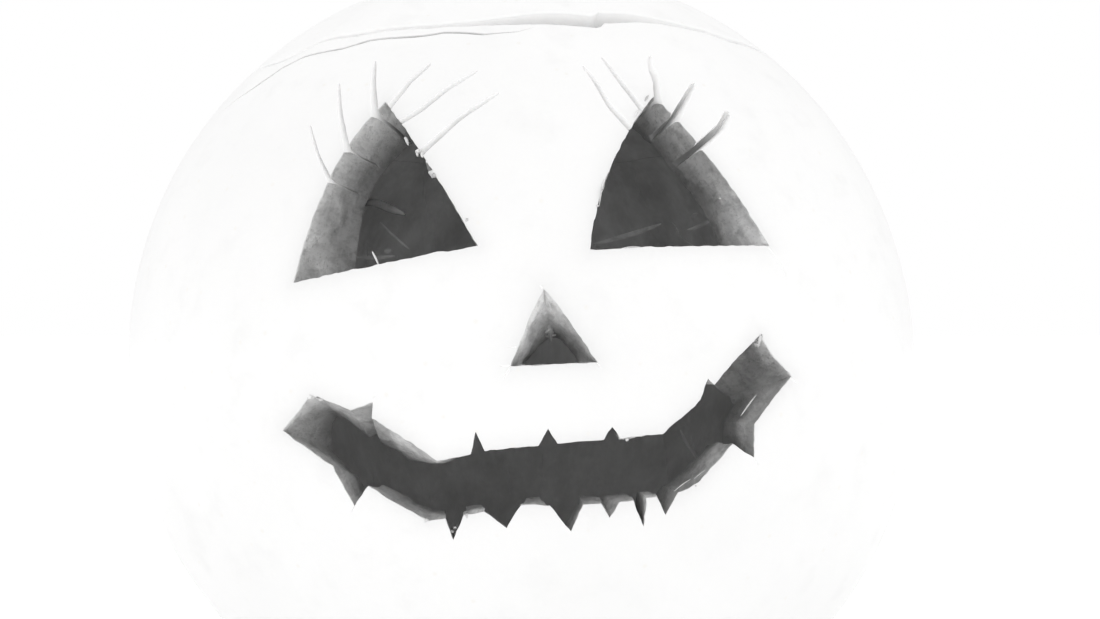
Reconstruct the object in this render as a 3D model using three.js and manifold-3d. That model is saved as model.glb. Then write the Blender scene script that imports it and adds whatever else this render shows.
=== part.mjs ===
// Carved pumpkin lantern: a hollowed pumpkin with two lashed eyes, a nose and a notched smile cut
// through its wall, closed by a cut-out lid that keeps its stem.
// Millimetres, +Z up. The face looks along -Y and the pumpkin stands on its flat foot at the origin.
// Places on the face are [x, z] pairs seen straight from the front, z counted from the middle.

import * as THREE from 'three';
import { ParametricGeometry } from 'three/addons/geometries/ParametricGeometry.js';
import { mergeVertices } from 'three/addons/utils/BufferGeometryUtils.js';
import Module from 'manifold-3d';

const wasm = await Module();
wasm.setup();

// ---------- Driving dimensions ----------

const RADIUS = 150; // of the body at its widest
const WALL = 27; // skin to scraped inner wall
const MIDDLE = 142; // height of the body's middle above the ground
const FLOOR = 24; // thickness left under the hollow
const LID_WALL = 24;

const RIB_COUNT = 12; // furrows between ribs, the first pair 15 degrees either side of the face
const RIB_DEPTH = 1.4;
const RIB_SHARPNESS = 8;
const CROWN_DIP = 13; // how far the top sinks round the stem
const CROWN_DIP_RING = 0.2; // its reach, as a share of the radius
const SWELL = 4.5; // the fuller flank, low on the right
const SWELL_HEADING = 62;
const SWELL_CLIMB = -38;

// Height of the lid's cut, in degrees above the middle, for headings round from the face (+ to the right)
const SEAM = [
  [-180, 44], [-125, 45.5], [-85, 43.5], [-50, 43], [-39, 45.8], [-8, 45.7], [16, 46],
  [19, 47], [27, 48], [60, 46.8], [95, 44.5], [140, 46], [180, 44],
];
const SEAM_GAP = 0.35; // clearance all round
const SEAM_GAPE = 4.6; // where the lid stands open at the front
const SEAM_GAPE_HEADING = 10;
const SEAM_GAPE_SPREAD = 9;

const STEM_BASE = 21; // radius where the stem spreads on the crown
const STEM_NECK = 13.5; // radius half way up
const STEM_TOP = 16; // radius at its cut end
const STEM_FOOT = 132; // where its base starts, above the middle
const STEM_RISE = 50;
const STEM_LEAN = [9, 6]; // how far the cut end stands off to the right and to the back
const STEM_RIDGES = 5;
const STEM_RIDGE_DEPTH = 0.13; // as a share of its radius
const STEM_START = 7; // heading of its first ridge, in degrees
const STEM_TWIST = 25; // degrees from base to cut end

// The eyes and nose are triangles with bowed sides: corners anticlockwise from the top, and the
// point that each side bows towards. Each is given on the skin and where the knife left the wall.
const LEFT_EYE = {
  skin: { corners: [[-38, 80], [-62, 26], [-9, 36]], bows: [[-54, 63], [-33, 33], [-23, 60]] },
  inside: { corners: [[-30, 74], [-48, 25], [-7, 31]], bows: [[-52, 57], [-28, 28], [-18, 54]] },
};
const RIGHT_EYE = {
  skin: { corners: [[42, 82], [22, 35], [75, 37]], bows: [[24.5, 60], [46, 36.5], [60, 62]] },
  inside: { corners: [[36, 79], [20, 31], [66, 35]], bows: [[21, 56], [43, 32], [57, 59]] },
};
const NOSE = {
  skin: { corners: [[9, 24], [1, 4], [23, 4]], bows: [[4.5, 14], [12, 4], [16.5, 15]] },
  inside: { corners: [[11, 15], [3.5, 1.5], [19.5, 2]], bows: [[8, 8], [12, 1.5], [16.5, 9]] },
};

// Lashes are knife slits that run out from the eye: tip, root, and width at the root
const LEFT_LASHES = [
  { tip: [-61, 73], root: [-53, 56], width: 1.4 },
  { tip: [-54, 87], root: [-48, 65], width: 2 },
  { tip: [-43, 95], root: [-41, 77], width: 2.4 },
  { tip: [-26, 92], root: [-36, 79], width: 1.2 },
  { tip: [-10, 89], root: [-32, 73], width: 1.2 },
  { tip: [-4, 82], root: [-25, 64], width: 1.6 },
];
const RIGHT_LASHES = [
  { tip: [21, 93], root: [33, 72], width: 1.4 },
  { tip: [26, 96], root: [38, 78], width: 1.4 },
  { tip: [42, 97], root: [43, 81], width: 2 },
  { tip: [56, 90], root: [49, 76], width: 2.2 },
  { tip: [65, 78], root: [55, 67], width: 3.2 },
];
const LEFT_LASH_DRIFT = [8, -4]; // how far a slit moves on its way in through the wall
const RIGHT_LASH_DRIFT = [-7, -4];
const LASH_OVERLAP = 3; // how far a slit's root reaches into the eye

// The mouth's lips: [x, z] on the skin, then how far the cut moves on its way in
const LOWER_LIP = [
  [-65, -16, 8, -9], [-49, -26, 3, -8], [-39, -31, 2, -5], [-32, -35, 1, -4], [-23, -40, 0, -3],
  [-13, -38, 0, -3], [3, -35, 0, -3], [29, -35, 0, -3], [46, -33, -3, -4], [52, -31, -4, -4],
  [62, -20, -3, -4], [69, -14, -4, -3], [76, -6, -7, -5], [81, -1, -14, -8],
];
const UPPER_LIP = [
  [-65, -16, 8, -9], [-57, -7, 2, -9], [-54, -6, 1, -8], [-37, -12, -2, -7], [-20, -23, -2, -4],
  [-7, -20, -1, -2], [13, -18, 0, -2], [42, -16, -3, -2], [54, -6, -6, -3], [64, 5, -9, -7],
  [71, 11, -12, -12], [75, 5, -13, -10], [81, -1, -14, -8],
];
// V notches cut out of the lips: where each starts and ends along the lip, and its tip
const LOWER_NOTCHES = [
  { from: -49, to: -39, tip: [-44, -36] }, { from: -18, to: -13, tip: [-16, -45] },
  { from: -7, to: 3, tip: [-1, -41] }, { from: 11, to: 19, tip: [16, -43] },
  { from: 25, to: 29, tip: [27, -39.5] }, { from: 34, to: 38, tip: [37, -42] },
  { from: 41, to: 46, tip: [43, -39] }, { from: 62, to: 69, tip: [69, -24] },
];
const UPPER_NOTCHES = [
  { from: -44, to: -37, tip: [-38, -8] }, { from: -11, to: -7, tip: [-9, -15] },
  { from: 8, to: 13, tip: [10, -14] }, { from: 26, to: 30, tip: [28, -14] },
  { from: 53, to: 57, tip: [55, -1] },
];
const NOTCH_OVERLAP = 2; // how far a notch's mouth side reaches past the lip

// Fineness of the faceted surfaces
const SLICES = 96;
const SKIN_ROWS = 16;
const INNER_ROWS = 8;
const LID_ROWS = 6;
const LID_INNER_ROWS = 4;
const LID_FIRST_CLIMB = 84; // where the lid's first row of corners lies, in degrees
const STEM_SIDES = 30;
const STEM_ROWS = 8;
const BOW_STEPS = 5;

// Corners closer than this are made one, on a new surface and after the cuts
const SURFACE_WELD = 1e-3;
const CUT_WELD = 0.004;

const CUT_REACH = 9; // how far a cutter runs on in front of the skin and behind the inner wall

// ---------- The pumpkin's form ----------

const radians = THREE.MathUtils.degToRad;

// Unit vector for a heading round from the face and a climb above the level, in radians
function aim(heading, climb) {
  const ring = Math.cos(climb);
  return new THREE.Vector3(Math.sin(heading) * ring, -Math.cos(heading) * ring, Math.sin(climb));
}

const swellAim = aim(radians(SWELL_HEADING), radians(SWELL_CLIMB));

// Radius of the skin: a ball less its furrows and crown dip, plus the swell, cut level at the foot
function skinRadius(heading, climb) {
  const ring = Math.cos(climb);
  const furrow = RIB_DEPTH * ring * Math.abs(Math.sin(RIB_COUNT / 2 * heading)) ** RIB_SHARPNESS;
  const dip = climb > 0 ? CROWN_DIP * Math.exp(-((ring / CROWN_DIP_RING) ** 2)) : 0;
  const swell = SWELL * Math.max(0, aim(heading, climb).dot(swellAim)) ** 4;
  const round = RADIUS - furrow - dip + swell;
  return climb < 0 ? Math.min(round, MIDDLE / Math.sin(-climb)) : round;
}

// Radius of the scraped inside: a smaller ball with a level floor
function innerRadius(heading, climb) {
  const round = RADIUS - WALL;
  return climb < 0 ? Math.min(round, (MIDDLE - FLOOR) / Math.sin(-climb)) : round;
}

function lidInnerRadius() {
  return RADIUS - LID_WALL;
}

// Straight-line reading of a table of [place, value] pairs
function read(table, place) {
  const next = Math.max(1, table.findIndex((pair) => pair[0] >= place));
  const [before, after] = [table[next - 1], table[next]];
  const share = (place - before[0]) / (after[0] - before[0]);
  return before.map((value, i) => THREE.MathUtils.lerp(value, after[i], share));
}

// Heading in degrees brought into -180 to 180
function turned(heading) {
  return THREE.MathUtils.euclideanModulo(THREE.MathUtils.radToDeg(heading) + 180, 360) - 180;
}

// Climb of the body's rim
function rimClimb(heading) {
  return radians(read(SEAM, turned(heading))[1]);
}

// Climb of the lid's edge: the rim, the clearance and the gape at the front
function lidEdgeClimb(heading) {
  const away = (turned(heading) - SEAM_GAPE_HEADING) / SEAM_GAPE_SPREAD;
  return rimClimb(heading) + (SEAM_GAP + SEAM_GAPE * Math.exp(-away * away)) / RADIUS;
}

// ---------- Solids ----------

// One vertex for corners closer than the tolerance, without the triangles that this flattens
function welded(geometry, tolerance) {
  const bare = geometry.clone();
  bare.deleteAttribute('normal');
  bare.deleteAttribute('uv');
  const merged = mergeVertices(bare, tolerance);
  const corners = merged.index.array;
  const kept = [];
  for (let i = 0; i < corners.length; i += 3) {
    const [a, b, c] = [corners[i], corners[i + 1], corners[i + 2]];
    if (a !== b && b !== c && c !== a) kept.push(a, b, c);
  }
  merged.setIndex(kept);
  return merged;
}

function toSolid(geometry) {
  const closed = welded(geometry, SURFACE_WELD);
  return new wasm.Manifold(new wasm.Mesh({
    numProp: 3,
    vertProperties: new Float32Array(closed.attributes.position.array),
    triVerts: new Uint32Array(closed.index.array),
  }));
}

function toGeometry(solid) {
  const mesh = solid.getMesh();
  const cut = new THREE.BufferGeometry();
  cut.setAttribute('position', new THREE.BufferAttribute(mesh.vertProperties, 3));
  cut.setIndex(new THREE.BufferAttribute(mesh.triVerts, 1));
  const geometry = welded(cut, CUT_WELD);
  geometry.computeVertexNormals();
  return geometry;
}

// Wall between two radius functions: out along the skin from the pole to the edge, in over the
// edge, and back along the inside. The first row lies at firstClimb, the rest evenly up to the edge.
function wallSolid({ outer, inner, outerRows, innerRows, pole, firstClimb, edge }) {
  const lastRow = outerRows + innerRows + 1;
  const surface = (u, v, target) => {
    const heading = (pole > 0 ? -1 : 1) * u * 2 * Math.PI;
    const row = Math.round(v * lastRow);
    const isSkin = row <= outerRows;
    const step = isSkin ? row : lastRow - row;
    const share = (step - 1) / ((isSkin ? outerRows : innerRows) - 1);
    const climb = step === 0 ? pole * Math.PI / 2
      : THREE.MathUtils.lerp(radians(firstClimb), edge(heading), share);
    const radius = isSkin ? outer(heading, climb) : inner(heading, climb);
    target.copy(aim(heading, climb)).multiplyScalar(radius);
  };
  return toSolid(new ParametricGeometry(surface, SLICES, lastRow));
}

// Depth at which a front-view place meets a ball round the middle
function ballDepth(x, z, radius) {
  return -Math.sqrt(radius ** 2 - x ** 2 - z ** 2);
}

// How far a knife moves sideways and up for each millimetre of depth, between a place on the skin
// and the place where it leaves the inner wall
function knifeLean([x, z], [xInside, zInside]) {
  const run = ballDepth(xInside, zInside, RADIUS - WALL) - ballDepth(x, z, RADIUS);
  return [(xInside - x) / run, (zInside - z) / run];
}

// Cutter for an outline on the skin and the knife's lean at each of its points. Each point's line
// has a corner in front of the skin, on it, near the inner wall and behind that.
function cutter(outline, leans) {
  const starts = outline.map(([x, z]) => ballDepth(x, z, RADIUS));
  const exits = outline.map(([x, z]) => ballDepth(x, z, RADIUS - WALL));
  const front = outline.map(() => Math.min(...starts) - CUT_REACH);
  const back = outline.map(() => Math.max(...exits) + CUT_REACH);
  const rings = [front, starts, exits, back].map((depths) => outline.map(([x, z], i) => {
    const [across, up] = leans[i].map((lean) => lean * (depths[i] - starts[i]));
    return new THREE.Vector3(x + across, depths[i], z + up);
  }));
  const count = outline.length;
  const last = rings.length - 1;
  const triangles = [];
  for (let ring = 0; ring < last; ring += 1) {
    for (let i = 0; i < count; i += 1) {
      const [here, next] = [ring * count + i, ring * count + (i + 1) % count];
      triangles.push(here, here + count, next, next, here + count, next + count);
    }
  }
  for (const ring of [0, last]) {
    const flat = rings[ring].map((point) => new THREE.Vector2(point.x, point.z));
    for (const corners of THREE.ShapeUtils.triangulateShape(flat, [])) {
      const [a, b, c] = corners.map((corner) => ring * count + corner);
      triangles.push(a, ...(ring === 0 ? [b, c] : [c, b]));
    }
  }
  const geometry = new THREE.BufferGeometry().setFromPoints(rings.flat());
  geometry.setIndex(triangles);
  return toSolid(geometry);
}

// Cutter with one lean all over: the drift from the skin to the inner wall at the outline's middle
function straightCutter(outline, [across, up]) {
  const middle = [0, 1].map((axis) => outline.reduce((sum, point) => sum + point[axis], 0) / outline.length);
  const lean = knifeLean(middle, [middle[0] + across, middle[1] + up]);
  return cutter(outline, outline.map(() => lean));
}

// Outline of a triangle whose sides bow towards given points
function bowedTriangle({ corners, bows }) {
  return corners.flatMap((corner, i) => {
    const side = new THREE.QuadraticBezierCurve(
      new THREE.Vector2(...corner),
      new THREE.Vector2(...bows[i]),
      new THREE.Vector2(...corners[(i + 1) % corners.length]),
    );
    return side.getPoints(BOW_STEPS).slice(0, -1).map((point) => point.toArray());
  });
}

function opening({ skin, inside }) {
  const outline = bowedTriangle(skin);
  const exits = bowedTriangle(inside);
  return cutter(outline, outline.map((point, i) => knifeLean(point, exits[i])));
}

// Slit from its tip to a root of the given width, run on a little into the eye
function lash({ tip, root, width }, drift) {
  const [tipPoint, rootPoint] = [new THREE.Vector2(...tip), new THREE.Vector2(...root)];
  const along = rootPoint.clone().sub(tipPoint).normalize();
  const across = new THREE.Vector2(-along.y, along.x).multiplyScalar(width / 2);
  const end = rootPoint.addScaledVector(along, LASH_OVERLAP);
  const outline = [tipPoint, end.clone().sub(across), end.clone().add(across)];
  return straightCutter(outline.map((point) => point.toArray()), drift);
}

// Wedge out of a lip; side is 1 when the lip lies above the mouth and -1 below
function notch({ from, to, tip }, lip, side) {
  const base = [read(lip, from), read(lip, to)].map(([x, z]) => [x, z - side * NOTCH_OVERLAP]);
  const drift = read(lip, (from + to) / 2).slice(2);
  return straightCutter(side > 0 ? [tip, ...base] : [base[0], tip, base[1]], drift);
}

function mouth() {
  const points = [...LOWER_LIP, ...UPPER_LIP.slice(1, -1).reverse()];
  const leans = points.map(([x, z, across, up]) => knifeLean([x, z], [x + across, z + up]));
  return cutter(points.map(([x, z]) => [x, z]), leans);
}

function faceCuts() {
  return [
    opening(LEFT_EYE),
    opening(RIGHT_EYE),
    opening(NOSE),
    mouth(),
    ...LEFT_LASHES.map((slit) => lash(slit, LEFT_LASH_DRIFT)),
    ...RIGHT_LASHES.map((slit) => lash(slit, RIGHT_LASH_DRIFT)),
    ...LOWER_NOTCHES.map((cut) => notch(cut, LOWER_LIP, -1)),
    ...UPPER_NOTCHES.map((cut) => notch(cut, UPPER_LIP, 1)),
  ];
}

// ---------- Pieces ----------

function shellSolid() {
  const hollow = wallSolid({
    outer: skinRadius,
    inner: innerRadius,
    outerRows: SKIN_ROWS,
    innerRows: INNER_ROWS,
    pole: -1,
    firstClimb: -THREE.MathUtils.radToDeg(Math.asin(MIDDLE / RADIUS)),
    edge: rimClimb,
  });
  return faceCuts().reduce((left, cut) => left.subtract(cut), hollow);
}

// Ridged stem that leans and twists on its way up, closed at both ends
function stemSolid() {
  const surface = (u, v, target) => {
    const row = Math.round(v * (STEM_ROWS + 2));
    const share = THREE.MathUtils.clamp((row - 1) / STEM_ROWS, 0, 1);
    const isCap = row === 0 || row === STEM_ROWS + 2;
    const angle = u * 2 * Math.PI;
    const spread = (STEM_BASE - STEM_NECK) * (1 - share) ** 3 + (STEM_TOP - STEM_NECK) * share ** 3;
    const ridge = 1 + STEM_RIDGE_DEPTH * Math.cos(STEM_RIDGES * angle);
    const radius = isCap ? 0 : (STEM_NECK + spread) * ridge;
    const turn = angle + radians(STEM_START + STEM_TWIST * share);
    const bend = share ** 2;
    target.set(
      STEM_LEAN[0] * bend + radius * Math.cos(turn),
      STEM_LEAN[1] * bend + radius * Math.sin(turn),
      STEM_FOOT + STEM_RISE * share,
    );
  };
  return toSolid(new ParametricGeometry(surface, STEM_SIDES, STEM_ROWS + 2));
}

function lidSolid() {
  const cap = wallSolid({
    outer: skinRadius,
    inner: lidInnerRadius,
    outerRows: LID_ROWS,
    innerRows: LID_INNER_ROWS,
    pole: 1,
    firstClimb: LID_FIRST_CLIMB,
    edge: lidEdgeClimb,
  });
  return cap.add(stemSolid());
}

function piece(name, solid, color, roughness) {
  const material = new THREE.MeshStandardMaterial({ color, roughness, metalness: 0 });
  const mesh = new THREE.Mesh(toGeometry(solid), material);
  mesh.name = name;
  return mesh;
}

const pumpkin = new THREE.Group();
pumpkin.add(
  piece('shell', shellSolid(), '#f2f0ec', 0.45),
  piece('lid', lidSolid(), '#f4f2ee', 0.45),
);
pumpkin.position.z = MIDDLE;

const group = new THREE.Group();
group.add(pumpkin);

export default group;
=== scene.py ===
"""Looks of the carved pumpkin lantern: rind, knife cuts, scraped hollow, loose lid, stem and stage.

Outlines of the cuts are [x, z] places in millimetres, seen straight from the front and counted from
the middle of the ball. Headings turn round from the face, climbs rise above the level, in degrees.
"""

from itertools import product

import bpy
import numpy as np
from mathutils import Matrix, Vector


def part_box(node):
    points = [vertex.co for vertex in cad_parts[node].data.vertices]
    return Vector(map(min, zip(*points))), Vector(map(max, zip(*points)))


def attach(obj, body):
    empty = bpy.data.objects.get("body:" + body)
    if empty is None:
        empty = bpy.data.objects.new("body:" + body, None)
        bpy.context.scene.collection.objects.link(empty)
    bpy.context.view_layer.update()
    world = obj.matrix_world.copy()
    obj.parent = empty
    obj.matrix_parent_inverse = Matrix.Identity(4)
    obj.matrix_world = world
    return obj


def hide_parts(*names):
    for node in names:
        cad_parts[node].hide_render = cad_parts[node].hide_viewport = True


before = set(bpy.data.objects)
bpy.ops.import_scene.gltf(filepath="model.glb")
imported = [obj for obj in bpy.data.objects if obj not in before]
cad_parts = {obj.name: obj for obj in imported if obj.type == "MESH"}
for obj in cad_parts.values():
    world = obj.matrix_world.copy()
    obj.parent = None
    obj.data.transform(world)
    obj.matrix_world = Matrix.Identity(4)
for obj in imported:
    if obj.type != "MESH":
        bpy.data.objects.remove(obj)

bl_info = {
    "name": "Carved pumpkin lantern",
    "version": (1, 0, 0),
    "blender": (4, 5, 0),
    "location": "View3D > Sidebar > Lantern",
    "description": "Makes the looks of a hollowed pumpkin with a knife-cut face, its lid and its stage",
    "category": "Add Mesh",
}

MM = 0.001
SHELL_LOW, SHELL_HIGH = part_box("shell")
LID_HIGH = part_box("lid")[1]
RADIUS = (SHELL_HIGH.y - SHELL_LOW.y) / 2
# The stem, counted from the ball's middle, and how far its cut end stands off to the right and back
STEM_FOOT = 132 * MM
STEM_TOP = 182 * MM
STEM_LEAN = (9 * MM, 6 * MM)
MIDDLE = LID_HIGH.z - STEM_TOP  # height of the ball's middle above the ground
# Where the lid stands open, and how far round, in degrees
GAPE_HEADING, GAPE_SPREAD = 11, 14.5
# Half widths and depths of the shallow grooves
SCORE_WIDTH, SCORE_DEPTH = 0.55 * MM, 1.3 * MM
NICK_WIDTH, NICK_DEPTH = 0.2 * MM, 0.3 * MM
# The darker skin beside the cuts is painted shade.
CUT_SHADE_REACH = 2.5 * MM  # reach of the darker skin beside the cuts

# Climb of the lid's cut for headings round from the face
SEAM = np.array([
    (-180, 44), (-125, 45.5), (-85, 43.5), (-50, 43), (-39, 45.6), (-29, 45.3), (-17, 46.2), (-8, 45.6),
    (6, 45.8), (15, 46.2), (16, 47.3), (22, 47.7), (27, 48), (60, 46.8), (95, 44.5), (140, 46), (180, 44),
])
# A first try of the knife below the lid's cut, which only marks the skin: headings and climbs
SCORE = np.array([
    (-58, 34.1), (-50, 38.2), (-45, 41.8), (-39, 42.6), (-30, 42.6), (-25, 43.7), (-18, 44.1), (-12, 44.5),
    (-5, 43.4), (0.5, 43.9), (4, 45.2),
])
# Nicks where the knife overran the corners; the first runs on from the right eye's outer corner
NICKS = [
    [(73, 38.5), (76, 35), (79.5, 30), (80.5, 27)], [(0.8, 3.8), (-0.6, 1.4), (-1.9, -0.6)],
    [(0.8, 3.4), (-3, 3)], [(9, 23.6), (8.2, 25.6)], [(23.4, 4.3), (25, 2.4)], [(79, -0.5), (83, -3.5)],
    [(68.8, -23.4), (70.4, -26.4)], [(-43.6, -36), (-45.4, -39)], [(-38.2, -7.4), (-37.4, -5)],
    [(2.4, 8.4), (-0.8, 8.1)],
]

LEFT_EYE = {
    "skin": ([(-38, 80), (-62, 26), (-9, 36)], [(-54, 63), (-35, 31.6), (-23, 60)]),
    "inside": ([(-30, 74), (-48, 25), (-7, 31)], [(-52, 57), (-28, 28), (-18, 54)]),
}
RIGHT_EYE = {
    "skin": ([(42, 82), (22, 35), (75, 37)], [(24.5, 60), (46, 36.5), (60, 62)]),
    "inside": ([(36, 79), (20, 31), (66, 35)], [(21, 56), (43, 32), (57, 59)]),
}
NOSE = {
    "skin": ([(9.2, 24), (0.3, 3.2), (23.7, 4.1)], [(4.4, 14), (12, 3.6), (16.6, 15)]),
    "inside": ([(11.4, 9.8), (3.2, 0.8), (19, 2)], [(7.5, 8.2), (12, 1.3), (16.2, 8.8)]),
}

# Knife slits beside the eyes: places from tip to root, width at the root, the power of the way
# with which it grows, and the share of it that closes on the way in
LEFT_LASHES = [
    ([(-61.4, 74.1), (-57.5, 64), (-53, 56)], 1.5, 0.7, 0.8),
    ([(-53.8, 87.9), (-51.8, 77), (-48.3, 65)], 2, 0.7, 0.8),
    ([(-42.9, 95.3), (-42.6, 87), (-41, 77)], 2.6, 0.65, 0.68),
    ([(-24.9, 92.8), (-31, 86.5), (-36, 79)], 1.7, 0.35, 0.8),
    ([(-10.5, 89.3), (-19.7, 83), (-26.2, 77.1), (-32.5, 73.1)], 1.6, 0.35, 0.8),
    ([(-3.7, 81.8), (-15, 73.6), (-24.7, 64.2)], 1.9, 0.45, 0.8),
]
RIGHT_LASHES = [
    ([(20.6, 91.7), (24, 86.8), (28.4, 78.1), (33.8, 71.6)], 1.7, 0.5, 0.8),
    ([(26.5, 95.4), (33.1, 84.8), (37.8, 78)], 1.7, 0.5, 0.8),
    ([(41.9, 97.1), (41.5, 92.6), (43, 87.5), (43.1, 81.5)], 2.5, 0.35, 0.8),
    ([(55.5, 88.4), (52, 82.3), (48.3, 75.8)], 3.5, 0.4, 0.5),
    ([(65.6, 79.2), (63, 74), (54.9, 66.5)], 3.1, 0.13, 0.35),
]
LEFT_LASH_DRIFT = (8, -4)
RIGHT_LASH_DRIFT = (-7, -4)

# The mouth's lips: x, z on the skin, then how far the cut moves on its way in
LOWER_LIP = np.array([
    (-65, -16, 8, -9), (-49, -26, 3, -8), (-39, -31, 2, -5), (-32, -35, 1, -4), (-23, -40, 0, -2.6),
    (-13, -38, 0, -2.3), (3, -35, 0, -2.3), (29, -35, 0, -2.3), (46, -33, -3, -3), (49.6, -31.8, -3, -3.5),
    (53, -29.6, -4, -4),
    (62, -20, -3, -4), (69, -14, -4, -3), (76, -6, -7, -5), (81, -1, -14, -8),
], float)
UPPER_LIP = np.array([
    (-65, -16, 8, -9), (-57, -7, 2, -9), (-54, -6, 1, -8), (-37, -12, -2, -12), (-28, -17.5, -2, -11),
    (-20, -23, -1, -5),
    (-7, -20, -1, -2), (13, -18, 0, -2), (42, -16, -3, -2), (54, -6, -6, -3), (64, 5, -9, -7),
    (71, 11, -12, -12), (75, 5, -13, -10), (81, -1, -14, -8),
], float)
# V notches in the lips: where each starts and ends along the lip, its tip, the knife's drift and
# how much the notch widens on its way in
LOWER_NOTCHES = [
    (-50, -39.7, (-44, -36.8), (2, -5), 0), (-17.8, -12.8, (-15.9, -45.3), (-2, -5.5), 1.2),
    (-7.2, 3, (-1, -41.6), (-0.8, -5.5), 2), (10.9, 19.9, (16.7, -42.8), (-2, -4.5), 1.6),
    (25, 30.2, (27.4, -39.1), (-1.5, 1.5), 0.8), (34.1, 37.7, (37, -42), (-1, -3), 0),
    (40.6, 46.8, (43.3, -39), (-2, -2), 0.8), (62.6, 69, (69.2, -23.9), (-4, -4), 0),
]
UPPER_NOTCHES = [
    (-44.4, -38.2, (-37.9, -7.2), (-2, -12.5), 0), (-10.7, -6.7, (-9.2, -14.8), (-1, 1), 0),
    (7.7, 12.9, (10.4, -14.1), (0, 1), 0), (25.6, 30.1, (27.9, -13.6), (0, 1), 0),
    (53, 57, (55.1, -1), (-4, -4.5), 0),
]
# Crumbs that cling to the cuts: place, how far under the skin, and size
CRUMBS = [
    (-31, 68, 1.2, 1), (-26.6, 63.6, 0.4, 1.9), (-25.3, 62.6, 0.1, 1.4), (-27, 62.8, 0.9, 1.1),
    (-22.4, 56.6, 0.8, 1.3), (-21.6, 56.2, 0.4, 1), (-23.9, 60.4, 0.3, 0.9), (-12, 43.2, 0.1, 0.9),
    (24, 47.2, 0.2, 1.1), (-55.4, -6.3, 0.3, 1.1), (-53.4, -6.8, 0.5, 0.9), (-57, -6.5, 0.2, 0.7),
    (71.4, 10.4, 0.4, 1.3),
    (70.4, 8.4, 1.2, 1.2), (-24.9, -39.6, 0.5, 0.9), (-23.2, -40.1, 0.4, 1.2), (-15.6, -42.4, 3, 1),
    (-16.2, -43.4, 2, 0.8), (49.6, -32.2, 0.5, 0.9), (51.8, -31, 0.4, 0.8), (60.6, 50.8, 2.4, 0.6),
    (32, -17.2, 0.2, 0.8), (10.4, 13.7, 19, 1.8), (10.9, 12.6, 20, 1.6), (10.1, 12.2, 21, 1.7),
    (11.4, 11.8, 21.5, 2), (11.9, 11, 22.5, 1.7), (10.7, 10.8, 23, 1.8), (-11.9, -38.2, 0.3, 0.9),
    (71, 9.4, 0.8, 1.4),
]
# Shreds: places of both ends, each with how far it lies under the skin, then width and thickness
SHREDS = [
    ((-36.5, 30, 1.2), (-38.7, 34.6, -0.2), 1.2, 0.6), ((30.4, 35.2, 0.4), (36.6, 35.7, 0.5), 1.1, 0.5),
    ((70.6, -6.2, 4.5), (65.6, -12.2, 4.2), 0.8, 0.45), ((-27, -38.9, 0.6), (-22.8, -40, 0.4), 0.7, 0.4),
    ((45.6, -33, 2.5), (50.6, -29.4, 2.2), 0.6, 0.3), ((51.4, -29.6, 2), (54.6, -27, 1.6), 0.5, 0.3),
    ((71.5, 11.4, 0), (70.3, 7.8, 1), 1.6, 1.1), ((-56.6, -5.5, 0), (-53.8, -6.9, 0.6), 0.6, 0.4),
    ((-12.8, -38.5, 0.5), (-9.4, -38, 0.6), 0.6, 0.4), ((10.4, 20.8, 2), (11.4, 17.6, 5), 0.6, 0.35),
    ((24.6, 47, -0.1), (26, 55, -0.2), 0.8, 0.35), ((37, 77.2, -0.1), (35, 74, 0.6), 1.4, 0.5),
    ((40.4, 82.4, 0.2), (38.8, 79.6, 0.4), 0.8, 0.6),
    ((10.6, 14, 18.5), (11.2, 9, 23.5), 1.2, 1), ((-31.1, 68.4, 1.2), (-29.9, 65.6, 1.2), 1, 0.8),
]
# Strings on the back of the hollow, painted to glow as if lit: front-view places of both ends and width
BACK_STRINGS = [
    ((32.6, 51.2), (64.2, 59.6), 2.6), ((76, 56.2), (88, 61.2), 2), ((-84, 43.6), (-65, 44.6), 2.2),
    ((77, 62.4), (79.4, 63.4), 2.2), ((-69.4, 47.2), (-66.6, 47.8), 2.4), ((-26, 36), (-8, 44), 1.8),
    ((-70, 60), (-58, 48), 1.3), ((74, -40), (80, -52), 1.8),
]
# Where the cut wall is darker or paler: front-view place, radius, and the share of its colour left
# Places with a share above 1 are painted light that lifts walls lying in shade.
TONES = [
    ((74, 4), 19, 0.42), ((66, 10), 14, 0.5), ((72, 41), 24, 2.3), ((44, 74), 13, 1.3),
    ((-60, -14), 15, 0.95), ((-56, -28), 12, 1.35), ((5, 13), 20, 1.7), ((24.5, 3), 8, 1.8),
    ((-52, 30), 16, 1.1), ((-36, 72), 22, 1.3), ((-33, 67), 9, 1.4), ((76, -8), 13, 1.4),
    ((67, -20), 10, 1.35), ((58, -24), 14, 1.25), ((-40, -34), 14, 1.25), ((-28, -14), 14, 1.2),
]
# A torn flap of flesh that hangs off the inner edge of the left eye
FLAP = ((-49.5, 51.2), (-41, 53), (-34, 47.4))
# A flake beside it, on the eye's right edge: places, each with how far it lies under the skin
FLAKE = ((-24, 61, 0.6), (-23.4, 58, 1), (-22, 56, 1.2))

# Order of the finishes on the walls
RIND, FLESH, SCRAPED, SLIT = range(4)


# ---------- Sizes and colours a user would change ----------

def length(name, description, default):
    return bpy.props.FloatProperty(name=name, description=description, default=default,
                                   unit="LENGTH", min=0, precision=4)


def colour(name, description, default):
    return bpy.props.FloatVectorProperty(name=name, description=description, default=default,
                                         subtype="COLOR", min=0, max=1)


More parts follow.
